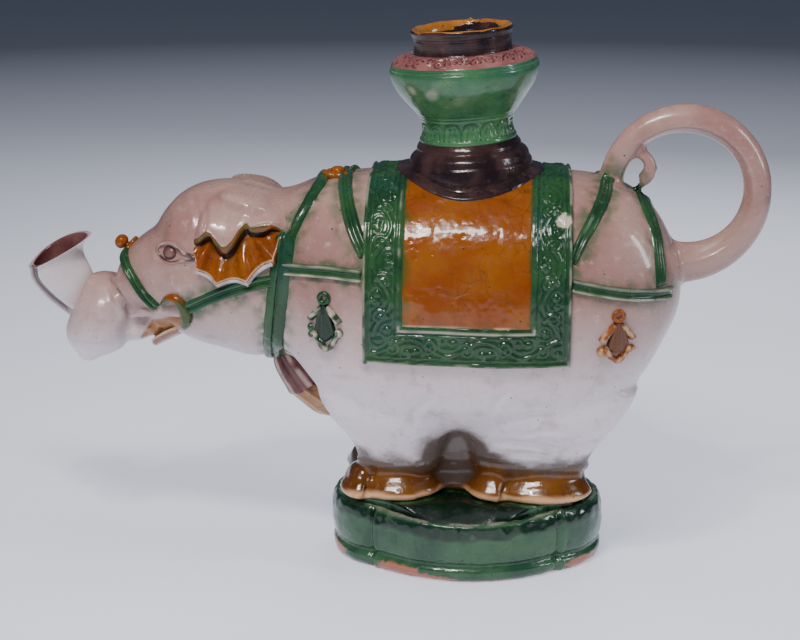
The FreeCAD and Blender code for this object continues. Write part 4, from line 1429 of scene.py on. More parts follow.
def makeSaddlePanel(plan):
    front, back = plan["front"], plan["back"]
    tree = lineTree(plan["cracks"], 0.1)

    def rise(x, hem, place):
        edge = min(x - front, back - x, hem)
        lift = plan["lift"] - 0.9 * ease(1 - edge / 1.1)
        found, index, distance = tree.find((x, hem, 0))
        distance += 0.3 * abs(noise.noise(place / mm / 0.8))
        lift -= 0.38 * bump(distance, 0.2)
        for (pitX, pitHem), reach in plan["pits"]:
            lift -= 0.45 * bump(math.hypot(x - pitX, hem - pitHem), reach * 0.75)
        return lift + 0.22 * noise.noise(place / mm / 6) + 0.07 * noise.noise(place / mm / 1.7)

    bm = wrapCloth(plan, rise)
    pattern = bm.verts.layers.float_vector["pattern"]
    green, cream = marks(bm, "greenBleed", "cream")
    for vert in bm.verts:
        x, hem, over = vert[pattern]
        shake = 1.3 * noise.noise(vert.co / mm / 5)
        left = (x - front) / 3.4 + shake * 0.5
        right = (back - x) / 2.2 + shake * 0.5
        vert[green] = 0.8 * max(ease(1 - left), ease(1 - right) * 0.8, 0.5 * ease(1 - hem / 2.0 + shake))
        vert[cream] = 0.85 * bump(hem - 0.8, 0.45) * ease(0.7 + 2 * noise.noise(vert.co / mm / 8))
    markHollows(bm, 1)
    finishPiece("saddlePanel", bm, [amberGlaze], "amber_glaze", ["saddle_panel"])


makeSaddleCloth(saddleCloth)
makeSaddlePanel(saddlePanel)
print("saddle cloth is laid")


# Vase on the back, thrown on the wheel

vaseShape = {
    "base": 148.6, "lean": -4.0, "steps": 300,
    "pedestal": [
        (23.2, -7), (23.0, -2.0), (22.9, 1.6), (22.7, 3.0), (22.1, 3.9), (21.8, 4.8), (21.5, 5.8),
        (20.8, 6.8), (19.8, 7.6), (19.1, 8.4), (19.0, 9.2), (18.6, 10.0), (18.0, 10.8), (17.4, 11.4),
    ],
    "bowl": [
        (17.3, 11.0), (17.6, 11.8), (17.4, 12.6), (16.8, 13.4), (16.3, 15.0), (16.4, 17.4), (17.5, 20.0),
        (19.6, 23.2), (22.3, 26.6), (24.8, 30.1), (26.4, 33.4), (27.0, 36.2), (26.9, 38.2), (26.2, 39.8),
    ],
    "shoulder": [
        (26.2, 39.7), (25.7, 40.3), (24.8, 41.0), (23.3, 41.8), (21.4, 42.5), (19.3, 43.0), (17.8, 43.1),
    ],
    "neck": [  # up the outside, over the rim and down the bore
        (17.9, 42.9), (17.7, 43.6), (17.6, 45.4), (17.7, 47.6), (17.9, 49.2), (18.3, 50.5), (18.2, 51.5),
        (17.5, 51.9), (16.6, 51.6), (15.7, 50.5), (15.1, 48.6), (14.8, 45.5), (14.7, 42.0), (16.5, 40.4),
        (21.0, 38.5), (22.2, 34.0), (20.6, 28.6), (16.8, 23.0), (13.8, 18.6), (12.8, 14.0), (13.0, 6.0),
        (9.8, -1.0), (9.4, -9.0),
    ],
    "counts": {"pedestal": 70, "bowl": 120, "shoulder": 70, "neck": 120},
    "footCuts": [-1.62, -2.02, -0.9, -1.2, 2.2],  # angles of the nicks in the pedestal's foot
    "bowlLines": [(39.0, 0.3), (38.0, 0.3), (21.2, 0.34), (20.1, 0.34), (13.2, 0.3)],
    "shoulderLine": (38.6, 0.3), "rimNotch": 1.42,
}
lappetPlan = {"count": 15, "foot": 13.9, "top": 18.6, "point": 2.6, "wide": 6.6}
cloudPlan = {
    "count": 11, "radius": 22, "inner": 18.8, "outer": 25.6, "stem": 21.4, "wave": 0.9, "turns": 1.5,
    "curls": [  # place along, radius, size and way of turning
        (0, 22.8, 2.7, 1), (4.4, 22.2, 2.3, -1), (8.4, 23.2, 2.2, 1), (2.4, 20.0, 1.2, -1),
        (10.2, 20.6, 1.4, 1),
    ],
}


def turned(rows, plan, count, relief):
    # Throws a profile, presses the relief in, then leans it as the vase leans
    bm = spun(curve(rows, count), plan["steps"], 0.0005)
    bmesh.ops.recalc_face_normals(bm, faces=bm.faces)
    bm.normal_update()
    outward = 0
    for face in bm.faces:
        middle = face.calc_center_median()
        outward += face.normal.dot(Vector((middle.x, middle.y, 0)))
    if outward < 0:
        bmesh.ops.reverse_faces(bm, faces=bm.faces)
    pushOut(bm, lambda vert: relief(
        math.atan2(vert.co.y, vert.co.x), math.hypot(vert.co.x, vert.co.y) / mm, vert.co.z / mm,
    ))
    lean = math.radians(plan["lean"])
    for vert in bm.verts:
        x, y, z = vert.co
        vert.co = (
            x * math.cos(lean) + z * math.sin(lean), y,
            z * math.cos(lean) - x * math.sin(lean) + plan["base"] * mm,
        )
    return bm


def cloudScroll(plan):
    # Curling clouds cut into the shoulder, in length round it and radius
    lines = []
    for index in range(plan["count"]):
        seat = index * 2 * math.pi * plan["radius"] / plan["count"]
        for shift, radius, size, way in plan["curls"]:
            lines.append(spiral((seat + shift, radius), size, 0.3, plan["turns"] * way, 1.1 * index))
        stem = [1.5 * step for step in range(9)]
        lines.append([(seat + part, plan["stem"] + plan["wave"] * math.sin(part * 1.3)) for part in stem])
    return lineTree(lines, 0.2)


def cloudDistance(clouds, angle, reach):
    found, index, distance = clouds.find(((angle % (2 * math.pi)) * cloudPlan["radius"], reach, 0))
    return distance


def throwing(angle, height, depth):
    # Slight rings and unevenness left by the potter's hands
    return depth * noise.noise(Vector((math.cos(angle) * 1.2, math.sin(angle) * 1.2, height * 0.8)))


def pedestalRelief(angle, reach, height):
    lift = throwing(angle, height / 4, 0.2)
    for seat in vaseShape["footCuts"]:
        lift -= 0.22 * bump((angle - seat) * 21, 0.16) * ease((5 - height) / 1.5)
    return lift


def bowlRelief(angle, reach, height):
    lift = throwing(angle, height / 4, 0.25)
    for seat, wide in vaseShape["bowlLines"]:
        lift -= 0.32 * bump(height - seat, wide)
    foot, top, wide = lappetPlan["foot"], lappetPlan["top"], lappetPlan["wide"]
    if foot - 1 < height < top + 1.5:
        share = abs((angle / (2 * math.pi) * lappetPlan["count"]) % 1 - 0.5)
        arch = top - lappetPlan["point"] * (share * 2) ** 2.6
        wall = min((0.5 - share) * wide, arch - height)
        lift += 0.25 * ease(wall / 0.5) - 0.5 * bump(wall, 0.35)
        inner = bump(share * wide - 1.4 + 0.2 * (height - foot), 0.3)
        lift -= 0.5 * inner * ease((arch - 1.0 - height) / 0.5)
    return lift


def shoulderRelief(clouds, angle, reach, height):
    seat, wide = vaseShape["shoulderLine"]
    lift = throwing(angle, height, 0.15) - 0.28 * bump(height - seat, wide)
    if cloudPlan["inner"] < reach < cloudPlan["outer"]:
        distance = cloudDistance(clouds, angle, reach)
        lift += 0.2 * bump(distance - 0.7, 0.4) - 0.5 * bump(distance, 0.3)
    return lift


def neckRelief(angle, reach, height):
    lift = throwing(angle, height / 3, 0.3)
    if height > 42 and reach > 16.6:
        lift += 0.08 * math.sin(height * 7 + 2 * math.sin(angle)) * ease((50 - height) / 2)
    if height > 48:
        lift += 0.35 * noise.noise(Vector((math.cos(angle) * 3, math.sin(angle) * 3, 5)))
        lift -= 0.9 * bump((angle - vaseShape["rimNotch"]) * 17, 0.8) * ease((height - 51.3) / 0.4)
    return lift


def makePedestal(plan):
    bm = turned(plan["pedestal"], plan, plan["counts"]["pedestal"], pedestalRelief)
    markHollows(bm, 1)
    finishPiece("vasePedestal", bm, [darkGlaze], "aubergine_glaze", ["vase_pedestal"])


def makeBowl(plan):
    bm = turned(plan["bowl"], plan, plan["counts"]["bowl"], bowlRelief)
    cream = marks(bm, "cream")
    for vert in bm.verts:
        x, y, z = vert.co / mm
        patch = noise.noise(vert.co / mm / 6.5 + Vector((3, 1, 4))) * (bump((x + 19) / 9, 1) * (y < 0) + 0.25)
        vert[cream] = 0.4 * ease((patch + 0.02) * 3.0) * bump(z - plan["base"] - 30.5, 3.6)
    markHollows(bm, 1)
    finishPiece("vaseBowl", bm, [bowlGlaze], "green_glaze", ["vase_bowl"])


def makeShoulder(plan):
    clouds = cloudScroll(cloudPlan)
    bm = turned(
        plan["shoulder"], plan, plan["counts"]["shoulder"],
        lambda angle, reach, height: shoulderRelief(clouds, angle, reach, height),
    )
    markHollows(bm, 1)
    poolAndShade = marks(bm, "poolAndShade")
    lean = math.radians(plan["lean"])
    for vert in bm.verts:
        x, y, z = vert.co.x / mm, vert.co.y / mm, vert.co.z / mm - plan["base"]
        flat = x * math.cos(lean) - z * math.sin(lean)
        reach = math.hypot(flat, y)
        if cloudPlan["inner"] < reach < cloudPlan["outer"]:
            vert[poolAndShade] += 0.24 * bump(cloudDistance(clouds, math.atan2(y, flat), reach), 0.4)
    finishPiece("vaseShoulder", bm, [mulberryGlaze], "aubergine_glaze", ["vase_shoulder"])


def makeNeck(plan):
    # Dark outside, amber over the rim, and dark again down the bore
    bm = turned(plan["neck"], plan, plan["counts"]["neck"], neckRelief)
    markHollows(bm, 1)
    for face in bm.faces:
        x, y, z = face.calc_center_median() / mm
        z -= plan["base"]
        reach = math.hypot(x + 0.07 * z, y)
        high = z - 0.07 * x - 0.25
        if reach < 18.1 and high > 50.7 or reach < 16.4:
            low = 50.4 + 1.2 * noise.noise(Vector((x, y, z + plan["base"])) / 7)
            # Painted light: on the far left inside, where light falls into the bore, the amber reaches lower
            low -= 1.6 if x < -7 and y > 4 else 0
            face.material_index = 2 if high < low else 1
    glazes = [darkGlaze, toffeeGlaze, darkGlaze]
    finishPiece("vaseNeck", bm, glazes, "aubergine_glaze", ["vase_neck"])


vaseSaddle = {"radius": 27.4, "lift": 3.5, "rimLift": 2.7, "groove": 24.2}


def makeVaseSaddle(plan):
    # A round pad that follows the back under the vase
    radius = plan["radius"]
    bm = spun([(radius * (0.3 + 0.7 * index / 56), 0) for index in range(57)], 240, 0.0005)
    for vert in bm.verts:
        reach = math.hypot(vert.co.x, vert.co.y) / mm
        place, facing = underTop(vert.co.x, vert.co.y)
        share = (radius - reach) / radius
        lift = plan["rimLift"] + (plan["lift"] - plan["rimLift"]) * ease(share * 6)
        lift = (lift + 0.5) * ease(share * radius / 0.8) - 0.5
        lift += 0.15 * noise.noise(place / mm / 4) - 0.3 * bump(reach - plan["groove"], 0.35)
        vert.co = place + facing * lift * mm
    faceOut(bm)
    markHollows(bm, 1)
    finishPiece("vaseSaddle", bm, [darkGlaze], "aubergine_glaze", ["vase_saddle"])


makePedestal(vaseShape)
makeBowl(vaseShape)
makeShoulder(vaseShape)
makeNeck(vaseShape)
makeVaseSaddle(vaseSaddle)
print("vase is thrown")


# Plinth: a wall with four pressed seams, and a sunken deck

plinthPlan = {
    "grain": 0.75, "softTurns": 3, "half": (52, 37.5), "rim": 17,
    "seams": [(-35.5, 25.5), (35.5, 25.5)], "seamDepth": 0.7,
    "cracks": [
        [(-25.6, 17.6), (-24.6, 15.2), (-25.0, 12.6), (-23.8, 10.4)],
        [(-17.6, 16.0), (-17.8, 13.2), (-17.2, 11.6)],
        [(-3.0, 21.6), (-1.6, 20.4)], [(14.0, 21.0), (15.4, 20.0)], [(-10.6, 8.4), (-7, 8.0)],
    ],
    "bareFoot": [(-24, 2.4, 9.0, 2.6), (-12, 0.8, 9.0, 1.5), (44, 2.2, 6, 2.4), (-49, 3, 4, 2)],
    "rimBow": 1.2, "bowLength": 26,
}
deckPlan = {"grain": 0.75, "softTurns": 4, "edgeTurns": 14, "rim": 17, "top": 26.3, "sole": 28, "sag": 0.34}
floorPlan = {"grain": 0.6, "softTurns": 3}


def seamLift(x, y, z, plan):
    # The pressed seam at each corner, with a soft roll beside it
    lift = 0
    for seamX, seamY in plan["seams"]:
        if math.hypot(x - seamX, abs(y) - seamY) < 14:
            turn = ((x - seamX) * seamY + (abs(y) - seamY) * -seamX / 2) / math.hypot(seamY, seamX / 2)
            lift += 0.4 * bump(turn - 2.0, 0.8) - plan["seamDepth"] * bump(turn, 0.95) * (z > 1)
    return lift


def bareAmounts(x, z, ragged, spots):
    # How much of the glaze is missing at each of the bare spots above the foot
    away = [math.hypot((x - spotX) / wide, (z - spotZ) / tall) for spotX, spotZ, wide, tall in spots]
    return [ease((1.05 - reach - 0.35 * ragged) / 0.18) for reach in away]


def makePlinthWall(plan):
    bm = fuse(clayFrom(["plinth_wall"]), plan["grain"])
    soften(bm, plan["softTurns"])
    bm.normal_update()
    cracks = lineTree(plan["cracks"], 0.1)
    cream, bare = marks(bm, "cream", "bare")
    halfX, halfY = plan["half"]
    moves = []
    for vert in bm.verts:
        place = vert.co / mm
        x, y, z = place
        lift = 0.25 * noise.noise(place / 9) + 0.10 * noise.noise(place / 2.5)
        if (x / halfX) ** 2 + (y / halfY) ** 2 > 0.80:
            lift += seamLift(x, y, z, plan)
            if y < 0:
                found, index, distance = cracks.find((x, z, 0))
                lift -= 0.6 * bump(distance + 0.2 * abs(noise.noise(place)), 0.28)
            if y < 0 and z < 7:
                amounts = bareAmounts(x, z, noise.noise(place / 1.6), plan["bareFoot"])
                vert[bare] = max(amounts)
                lift -= 0.18 * sum(amounts)
        if z > plan["rim"]:
            lift += 0.3 * noise.noise(place / 3.2)
            vert.co.z += plan["rimBow"] * mm * bump(x / plan["bowLength"], 1) * ease((z - plan["rim"]) / 4)
        moves.append(vert.normal * lift * mm)
        vert[bare] = max(vert[bare], ease((1.0 - z) / 0.8))
    for vert, move in zip(bm.verts, moves):
        vert.co += move
    bm.normal_update()
    # Paler where the rim faces up: partly glaze worn thin, partly a painted highlight from the lights above
    for vert in bm.verts:
        if vert.co.z > 18 * mm and vert.normal.z > 0.6:
            worn = ease(0.6 + 1.8 * noise.noise(vert.co / mm / 6))
            vert[cream] = 0.42 * ease((vert.normal.z - 0.9) * 10) * worn
    markHollows(bm, 1)
    poolAndShade = marks(bm, "poolAndShade")
    for vert in bm.verts:
        x, y, z = vert.co / mm
        sunk = 2.2 * bump(x / plan["bowLength"], 1) + 1.4 * noise.noise(vert.co / mm / 5)
        vert[poolAndShade] += 0.34 * ease((z - 17.6 + sunk) / 2.6) * ease((0.8 - vert.normal.z) / 0.2)
    finishPiece("plinthWall", bm, [plinthGlaze], "green_glaze", ["plinth_wall"])


def makePlinthDeck(plan):
    # Highest under the feet, and sagging away from them
    bm = fuse(clayFrom(["plinth_deck"]), plan["grain"])
    soften(bm, plan["softTurns"])
    tree = treeOf([(vert.co.x, vert.co.y, 0) for vert in skinClay.verts if vert.co.z < plan["sole"] * mm])
    cream = marks(bm, "cream")
    for vert in bm.verts:
        x, y, z = vert.co / mm
        if z > plan["rim"]:
            place, index, distance = tree.find((vert.co.x, vert.co.y, 0))
            away = distance / mm
            vert.co.z = max(z, plan["top"] - plan["sag"] * max(away - 1.4, 0) ** 1.4) * mm
            vert[cream] = 0.8 * ease((1.3 - away + 1.8 * noise.noise(vert.co / mm / 5)) / 1.4)
    soften(bm, plan["edgeTurns"], [vert for vert in bm.verts if vert.co.z > plan["rim"] * mm])
    pushOut(bm, lambda vert: 0.35 * noise.noise(vert.co / mm / 7) + 0.08 * noise.noise(vert.co / mm / 2))
    markHollows(bm, 1)
    finishPiece("plinthDeck", bm, [shadedDeckGlaze], "green_glaze", ["plinth_deck"])


def makePlinthFloor(plan):
    bm = fuse(clayFrom(["plinth_floor"]), plan["grain"])
    soften(bm, plan["softTurns"])
    pushOut(bm, lambda vert: 0.2 * noise.noise(vert.co / mm / 6) + 0.08 * noise.noise(vert.co / mm / 1.5))
    markHollows(bm, 1)
    finishPiece("plinthFloor", bm, [bareClay], "bare_clay", ["plinth_floor"])


makePlinthWall(plinthPlan)
makePlinthDeck(deckPlan)
makePlinthFloor(floorPlan)
print("plinth is set")


# Trunk tip, mouth and tusks

trunkCup = {
    "left": [(-149.8, 89.6), (-155.6, 93.8), (-161.6, 99.6), (-164.8, 105.2), (-165.2, 110.2)],
    "right": [(-140.6, 103.6), (-142.6, 108.2), (-144.8, 113.0), (-144.9, 117.2), (-142.2, 121.4)],
    "depth": [(0, 6.2), (0.33, 7.8), (0.66, 9.4), (1, 10.8)], "wall": 1.7, "farRise": 2.0, "bow": 0.6,
    "slit": 0.74, "slitDepth": 1.7,
}


def makeTrunkCup(plan):
    bm = bmesh.new()
    bmesh.ops.create_grid(bm, x_segments=150, y_segments=90, size=0.5)
    inside, bruise, pale = marks(bm, "inside", "bruise", "pale")
    for vert in bm.verts:
        angle = (vert.co.x + 0.5) * 2 * math.pi
        way = (vert.co.y + 0.5) * 2
        share = min(way, 2 - way * 0.98) if way > 1 else way
        lining = ease((way - 0.985) / 0.05)
        left = spread(plan["left"], share)
        right = spread(plan["right"], share)
        middle, reach = (left + right) / 2, (right - left) / 2
        depth = between(plan["depth"], share)
        long = reach.length
        thin = plan["wall"] * (lining - 0.5) + 0.5 * plan["wall"]
        long, depth = long - thin, depth - thin
        x, z = middle + reach.normalized() * long * math.cos(angle)
        y = depth * math.sin(angle) * (1 - 0.22 * math.cos(angle))
        z += plan["farRise"] * share ** 3 * y / depth
        bow = plan["bow"] * share ** 3 * math.sin(angle) ** 2
        x, z = x - 0.45 * bow, z + 0.9 * bow
        out = Vector((math.cos(angle) * reach.x, math.sin(angle) * reach.length, math.cos(angle) * reach.y))
        out.normalize()
        turn = angle - math.pi
        outside = 1 - lining
        band = ease((turn - 0.22) / 0.14) * ease((plan["slit"] + 0.3 - turn) / 0.14)
        band *= ease(share * 6 - 0.2) * outside
        # The brim is a small roll along the rim's edges, also painted as highlight lines
        brim = (bump(turn - plan["slit"] - 0.38, 0.09) + 0.6 * bump(turn - 0.12, 0.1)) * outside
        wave = 0.25 * noise.noise(Vector((x, y, z)) / 6)
        flare = 0.7 * bump((share - 1) * 12, 1.0) * outside
        vert.co = (Vector((x, y, z)) + out * (wave + flare - plan["slitDepth"] * band + 0.5 * brim)) * mm
        vert[inside] = lining
        vert[bruise] = 0.95 * band
        # Painted light: the outer wall is whitened as if lit by the floor below, and the brim lines are
        # painted highlights
        vert[pale] = max(0.8 * outside * ease(share * 3) * (1 - band), min(brim, 1))
    bmesh.ops.remove_doubles(bm, verts=bm.verts, dist=0.02 * mm)
    fillHoles(bm)
    bmesh.ops.recalc_face_normals(bm, faces=bm.faces)
    for face in bm.faces:
        face.material_index = int(sum(vert[inside] for vert in face.verts) / len(face.verts) > 0.55)
    markHollows(bm, 1)
    finishPiece("trunkCup", bm, [ivoryGlaze, plumGlaze], "ivory_glaze", ["trunk_cup"])


jawPlan = {
    "edge": [(-101.0, 92.6), (-105.6, 91.2), (-110.0, 89.4), (-114.4, 86.8), (-118.0, 83.8), (-119.8, 81.8)],
    "keel": [(-101.0, 85.6), (-106.0, 84.8), (-110.5, 82.9), (-114.8, 80.8), (-118.2, 79.0), (-119.8, 79.0)],
    "half": [(0, 16.4), (0.35, 14.8), (0.6, 12.4), (0.8, 8.8), (0.93, 5.2), (1, 2.8)], "thick": 1.7,
}
tuskPlan = {
    "points": [
        (-103.0, 96.4), (-107.0, 97.0), (-111.5, 97.0), (-116.0, 96.5), (-120.6, 95.8), (-124.8, 94.4),
    ],
    "radii": [2.2, 2.3, 2.2, 1.9, 1.4, 0.45], "inner": 15.6, "outer": 19.4, "count": 36,
}
bitRing = {
    "points": [
        (-111.4, 100.6), (-109.0, 103.2), (-105.6, 103.8), (-103.0, 100.6), (-102.1, 96.6), (-103.2, 93.0),
    ],
    "radii": [0.9, 1.5, 1.8, 2.1, 2.3, 1.6], "count": 44, "greenFrom": 104.6,
}


def makeJaw(plan):
    bm = bmesh.new()
    bmesh.ops.create_grid(bm, x_segments=60, y_segments=50, size=0.5)
    cream, pale = marks(bm, "cream", "pale")
    for vert in bm.verts:
        along, over = vert.co.x + 0.5, vert.co.y * 2
        vert[pale] = 1
        edge, keel = spread(plan["edge"], along), spread(plan["keel"], along)
        curve = (1 - over ** 2) ** 0.75
        x, z = edge.lerp(keel, curve)
        y = over * between(plan["half"], along)
        z += 0.35 * bump(over, 0.09) - 0.25 * bump(abs(over) - 0.2, 0.08)
        vert.co = (x * mm, y * mm, z * mm)
        vert[cream] = 0.9 * ease((max(abs(over), along) - 0.93) / 0.05)
    if sum(face.normal.z for face in bm.faces) < 0:
        bmesh.ops.reverse_faces(bm, faces=bm.faces)
    markHollows(bm, 1)
    jaw = finishPiece("lowerJaw", bm, [amberGlaze, ivoryGlaze], "amber_glaze", ["lower_jaw"])
    thicken(jaw, plan["thick"])


def taper(radii, count):
    # Radii in metres for the points of a tube, from a few in millimetres
    rows = [(index / (len(radii) - 1), radius) for index, radius in enumerate(radii)]
    return [between(rows, index / count) * mm for index in range(count + 1)]


def makeTusks(plan):
    for sideName, side in sides.items():
        bm = bmesh.new()
        points = []
        for x, z in curve(plan["points"], plan["count"]):
            place, facing = onFlank(x, z, side)
            out = min(max(abs(place.y) / mm - 0.4, plan["inner"]), plan["outer"])
            points.append(Vector((x, side * out, z + 0.28 * (out - 16))) * mm)
        for turn in range(12):
            nextTo = zip(points, points[1:], points[2:])
            points[1:-1] = [(low + here * 2 + high) / 4 for low, here, high in nextTo]
        tube(bm, points, taper(plan["radii"], plan["count"]), around=20)
        markHollows(bm, 1)
        finishPiece(sideName + "Tusk", bm, [ivoryGlaze], "ivory_glaze", [sideName + "_tusk"])


def makeBitRings(plan):
    for sideName, side in sides.items():
        bm = bmesh.new()
        points = []
        for spot in curve(plan["points"], plan["count"]):
            place, facing = onFlank(spot.x, spot.y, side)
            points.append(place + facing * 0.8 * mm)
        tube(bm, points, taper(plan["radii"], plan["count"]), around=18)
        green = marks(bm, "greenBleed")
        for vert in bm.verts:
            ragged = 0.5 * noise.noise(vert.co / mm / 2)
            vert[green] = 0.95 * ease((plan["greenFrom"] - vert.co.z / mm) / 2.4 + ragged)
        markHollows(bm, 1)
        finishPiece(sideName + "BitRing", bm, [amberGlaze], "green_glaze", [sideName + "_bit_ring"])


makeTrunkCup(trunkCup)
makeJaw(jawPlan)
makeTusks(tuskPlan)
makeBitRings(bitRing)
print("mouth and trunk tip are shaped")


# Ornaments: knob, rosette, pendants, bell and tassel

knobPlan = {
    "base": (-127.5, 0, 116.9), "axis": (-0.80, 0, 0.60), "lobes": 6, "lobeDepth": 0.16, "lobeTop": 1.5,
    "rows": [
        (4.3, -1.4), (4.7, -0.3), (4.3, 0.5), (2.6, 0.9), (1.5, 1.2), (1.6, 1.5), (2.4, 2.1), (2.8, 3.3),
        (2.5, 4.6), (1.4, 5.6), (0.05, 5.9),
    ],
}
rosettePlan = {
    "base": (-48.6, 0, 0), "axis": (0, 0, 1), "lobes": 7, "lobeDepth": 0.17, "lobeTop": 2.2,
    "rows": [
        (4.6, -1.6), (5.3, -0.2), (5.5, 0.8), (4.7, 1.6), (3.4, 1.3), (2.7, 1.5), (2.5, 2.3), (1.7, 3.0),
        (0.05, 3.3),
    ],
}


def makeStud(name, plan, stands, glaze=amberGlaze, slot="amber_glaze"):
    # A turned and lobed lump of clay, pressed on along its axis
    bm = spun(curve(plan["rows"], 60), 96, 0.06)
    fillHoles(bm)
    bmesh.ops.recalc_face_normals(bm, faces=bm.faces)
    green, cream = marks(bm, "greenBleed", "cream")
    base = Vector(plan["base"]) * mm
    if not plan["base"][2]:
        base.z = underTop(base.x, 0)[0].z
    turn = Vector(plan["axis"]).to_track_quat("Z", "Y").to_matrix()
    for vert in bm.verts:
        angle = math.atan2(vert.co.y, vert.co.x)
        height = vert.co.z / mm
        ridge = abs(math.cos(angle * plan["lobes"] / 2))
        lobe = plan["lobeDepth"] * (ridge ** 0.6 - 0.6) * ease(plan["lobeTop"] - height)
        vert.co.x *= 1 + lobe
        vert.co.y *= 1 + lobe
        if height < 5:
            vert.co.z += 2.4 * mm * lobe
        vert[green] = 0.6 * ease(0.3 - height)
        if "worn" in plan:
            worn = 0.8 * bump(1 - ridge, 0.06) * ease(0.6 + noise.noise(vert.co / mm / 4))
            vert[cream] = worn + 0.7 * bump(height - plan["worn"], 2.4) * ease(1.4 * math.cos(angle))
        vert.co = base + turn @ vert.co
    markHollows(bm, 1)
    finishPiece(name, bm, [glaze], slot, stands)


def pad(bm, points, widths, height, side, ridges=None):
    # A raised leaf of clay laid on the flank along a line
    sink = 0.45
    length = sum((Vector(end) - Vector(start)).length for start, end in zip(points, points[1:]))
    made = bmesh.ops.create_grid(bm, x_segments=max(int(length / 0.35), 10), y_segments=22, size=0.5)["verts"]
    for vert in made:
        along, over = vert.co.x + 0.5, vert.co.y * 2
        here = spread(points, along)
        ahead = (spread(points, along + 0.03) - spread(points, along - 0.03)).normalized()
        half = between(widths, along)
        x = here.x + ahead.y * over * half
        z = here.y - ahead.x * over * half
        place, facing = onFlank(x, z, side)
        ends = ease(min(along, 1 - along) * length / 0.9)
        lift = (height + sink) * (1 - abs(over) ** 3) ** 0.7 * ends - sink
        if ridges:
            lift += ridges(along, over, half) * ends * (1 - over ** 4)
        vert.co = place + facing * lift * mm
    if side > 0:
        flip(bm, made)
    return made


def bead(bm, spot, radius, side):
    place, facing = onFlank(spot[0], spot[1], side)
    made = bmesh.ops.create_uvsphere(bm, u_segments=20, v_segments=12, radius=radius * mm)["verts"]
    for vert in made:
        vert.co += place + facing * radius * 0.35 * mm
    return made


pendantPlans = {
    "front": {
        "ring": (-50.3, 108.4), "panel": [(-50.3, 106.4), (-50.1, 99.4), (-49.8, 92.4)], "tip": (-49.4, 89.2),
        "bars": [[(-49.4, 105.8), (-44.4, 99.4)], [(-51.2, 105.8), (-55.6, 100.2)]],
        "beads": [((-44.8, 96.2), 1.6), ((-55.0, 97.4), 1.5), ((-55.2, 94.6), 1.2)],
        "glaze": greenGlaze, "slot": "green_glaze", "cream": 0.9,
    },
    "rear": {
        "ring": (53.4, 104.2), "panel": [(53.4, 102.2), (53.5, 96.2), (53.6, 90.2)], "tip": (53.1, 87.2),
        "bars": [[(54.4, 101.6), (58.9, 95.6)], [(52.4, 101.6), (47.4, 95.0)]],
        "beads": [((58.4, 91.9), 1.4), ((47.9, 91.6), 2.1)],
        "glaze": amberGlaze, "slot": "amber_glaze", "cream": 0.5,
    },
}


panelWidths = [(0, 1.6), (0.1, 2.0), (0.68, 4.1), (0.76, 4.1), (1, 0.4)]
leafWidths = [(0, 0.9), (0.6, 1.25), (1, 0.8)]
barWidths = [(0, 0.7), (0.3, 1.2), (1, 1.4)]


def framed(along, over, half):
    # A rim and a middle rib round the sunken field of a pendant's panel
    rim = (1 - abs(over)) * half
    return 0.5 * bump(rim - 0.45, 0.3) - 1.0 * ease((rim - 0.6) / 0.7) + 0.4 * bump(over, 0.14)


def makePendant(name, plan, sideName, side):
    bm = bmesh.new()
    cream, hollow = marks(bm, "cream", "hollow")
    points = []
    for index in range(32):
        angle = 2 * math.pi * index / 32
        x = plan["ring"][0] + 1.6 * math.cos(angle)
        z = plan["ring"][1] + 1.7 * math.sin(angle)
        place, facing = onFlank(x, z, side)
        points.append(place + facing * 0.6 * mm)
    tube(bm, points, [0.95 * mm] * 32, closed=True, around=14)
    for vert in pad(bm, plan["panel"], panelWidths, 2.7, side, framed):
        vert[hollow] = 1
    pale = []
    (tipX, tipZ), topZ, lowZ = plan["tip"], plan["panel"][0][1], plan["panel"][-1][1]
    shoulder = topZ - 0.62 * (topZ - lowZ) - 1.0
    for way in (-1, 1):
        leaf = [(tipX + way * 4.4, shoulder), (tipX + way * 2.2, tipZ + 2.6), (tipX - way * 0.3, tipZ)]
        pale += pad(bm, leaf, leafWidths, 2.3, side)
    for bar in plan["bars"]:
        pale += pad(bm, bar, barWidths, 2.2, side)
    for spot, radius in plan["beads"]:
        pale += bead(bm, spot, radius, side)
    for vert in pale:
        vert[cream] = plan["cream"] * ease(0.45 + 1.6 * noise.noise(vert.co / mm / 2.2))
    markHollows(bm, 1)
    poolAndShade, hollow = marks(bm, "poolAndShade", "hollow")
    for vert in bm.verts:
        if vert[hollow]:
            place, facing, index, reach = skinTree.find_nearest(vert.co)
            vert[poolAndShade] += 0.35 * ease((2.5 - reach / mm) / 0.7)
    pieceName = sideName + name.capitalize() + "Pendant"
    finishPiece(pieceName, bm, [plan["glaze"]], plan["slot"], [sideName + "_" + name + "_pendant"])


bellPlan = {
    "base": (-73.2, 0, 84.6), "axis": (0.63, 0, -0.78), "lobes": 8, "lobeDepth": 0.13, "lobeTop": 99,
    "rows": [
        (0.05, -0.6), (2.6, 0.0), (3.7, 1.6), (3.4, 3.4), (4.0, 5.0), (6.6, 7.4), (8.4, 11.0), (9.4, 15.6),
        (10.0, 19.4), (10.4, 21.6), (9.8, 23.0), (8.0, 23.4), (0.05, 23.6),
    ],
    "worn": 9,
}
tasselPlan = {"middle": (-58.6, 0, 60.6), "axes": (5.6, 7.2, 13.2), "turn": -126, "strands": 9}


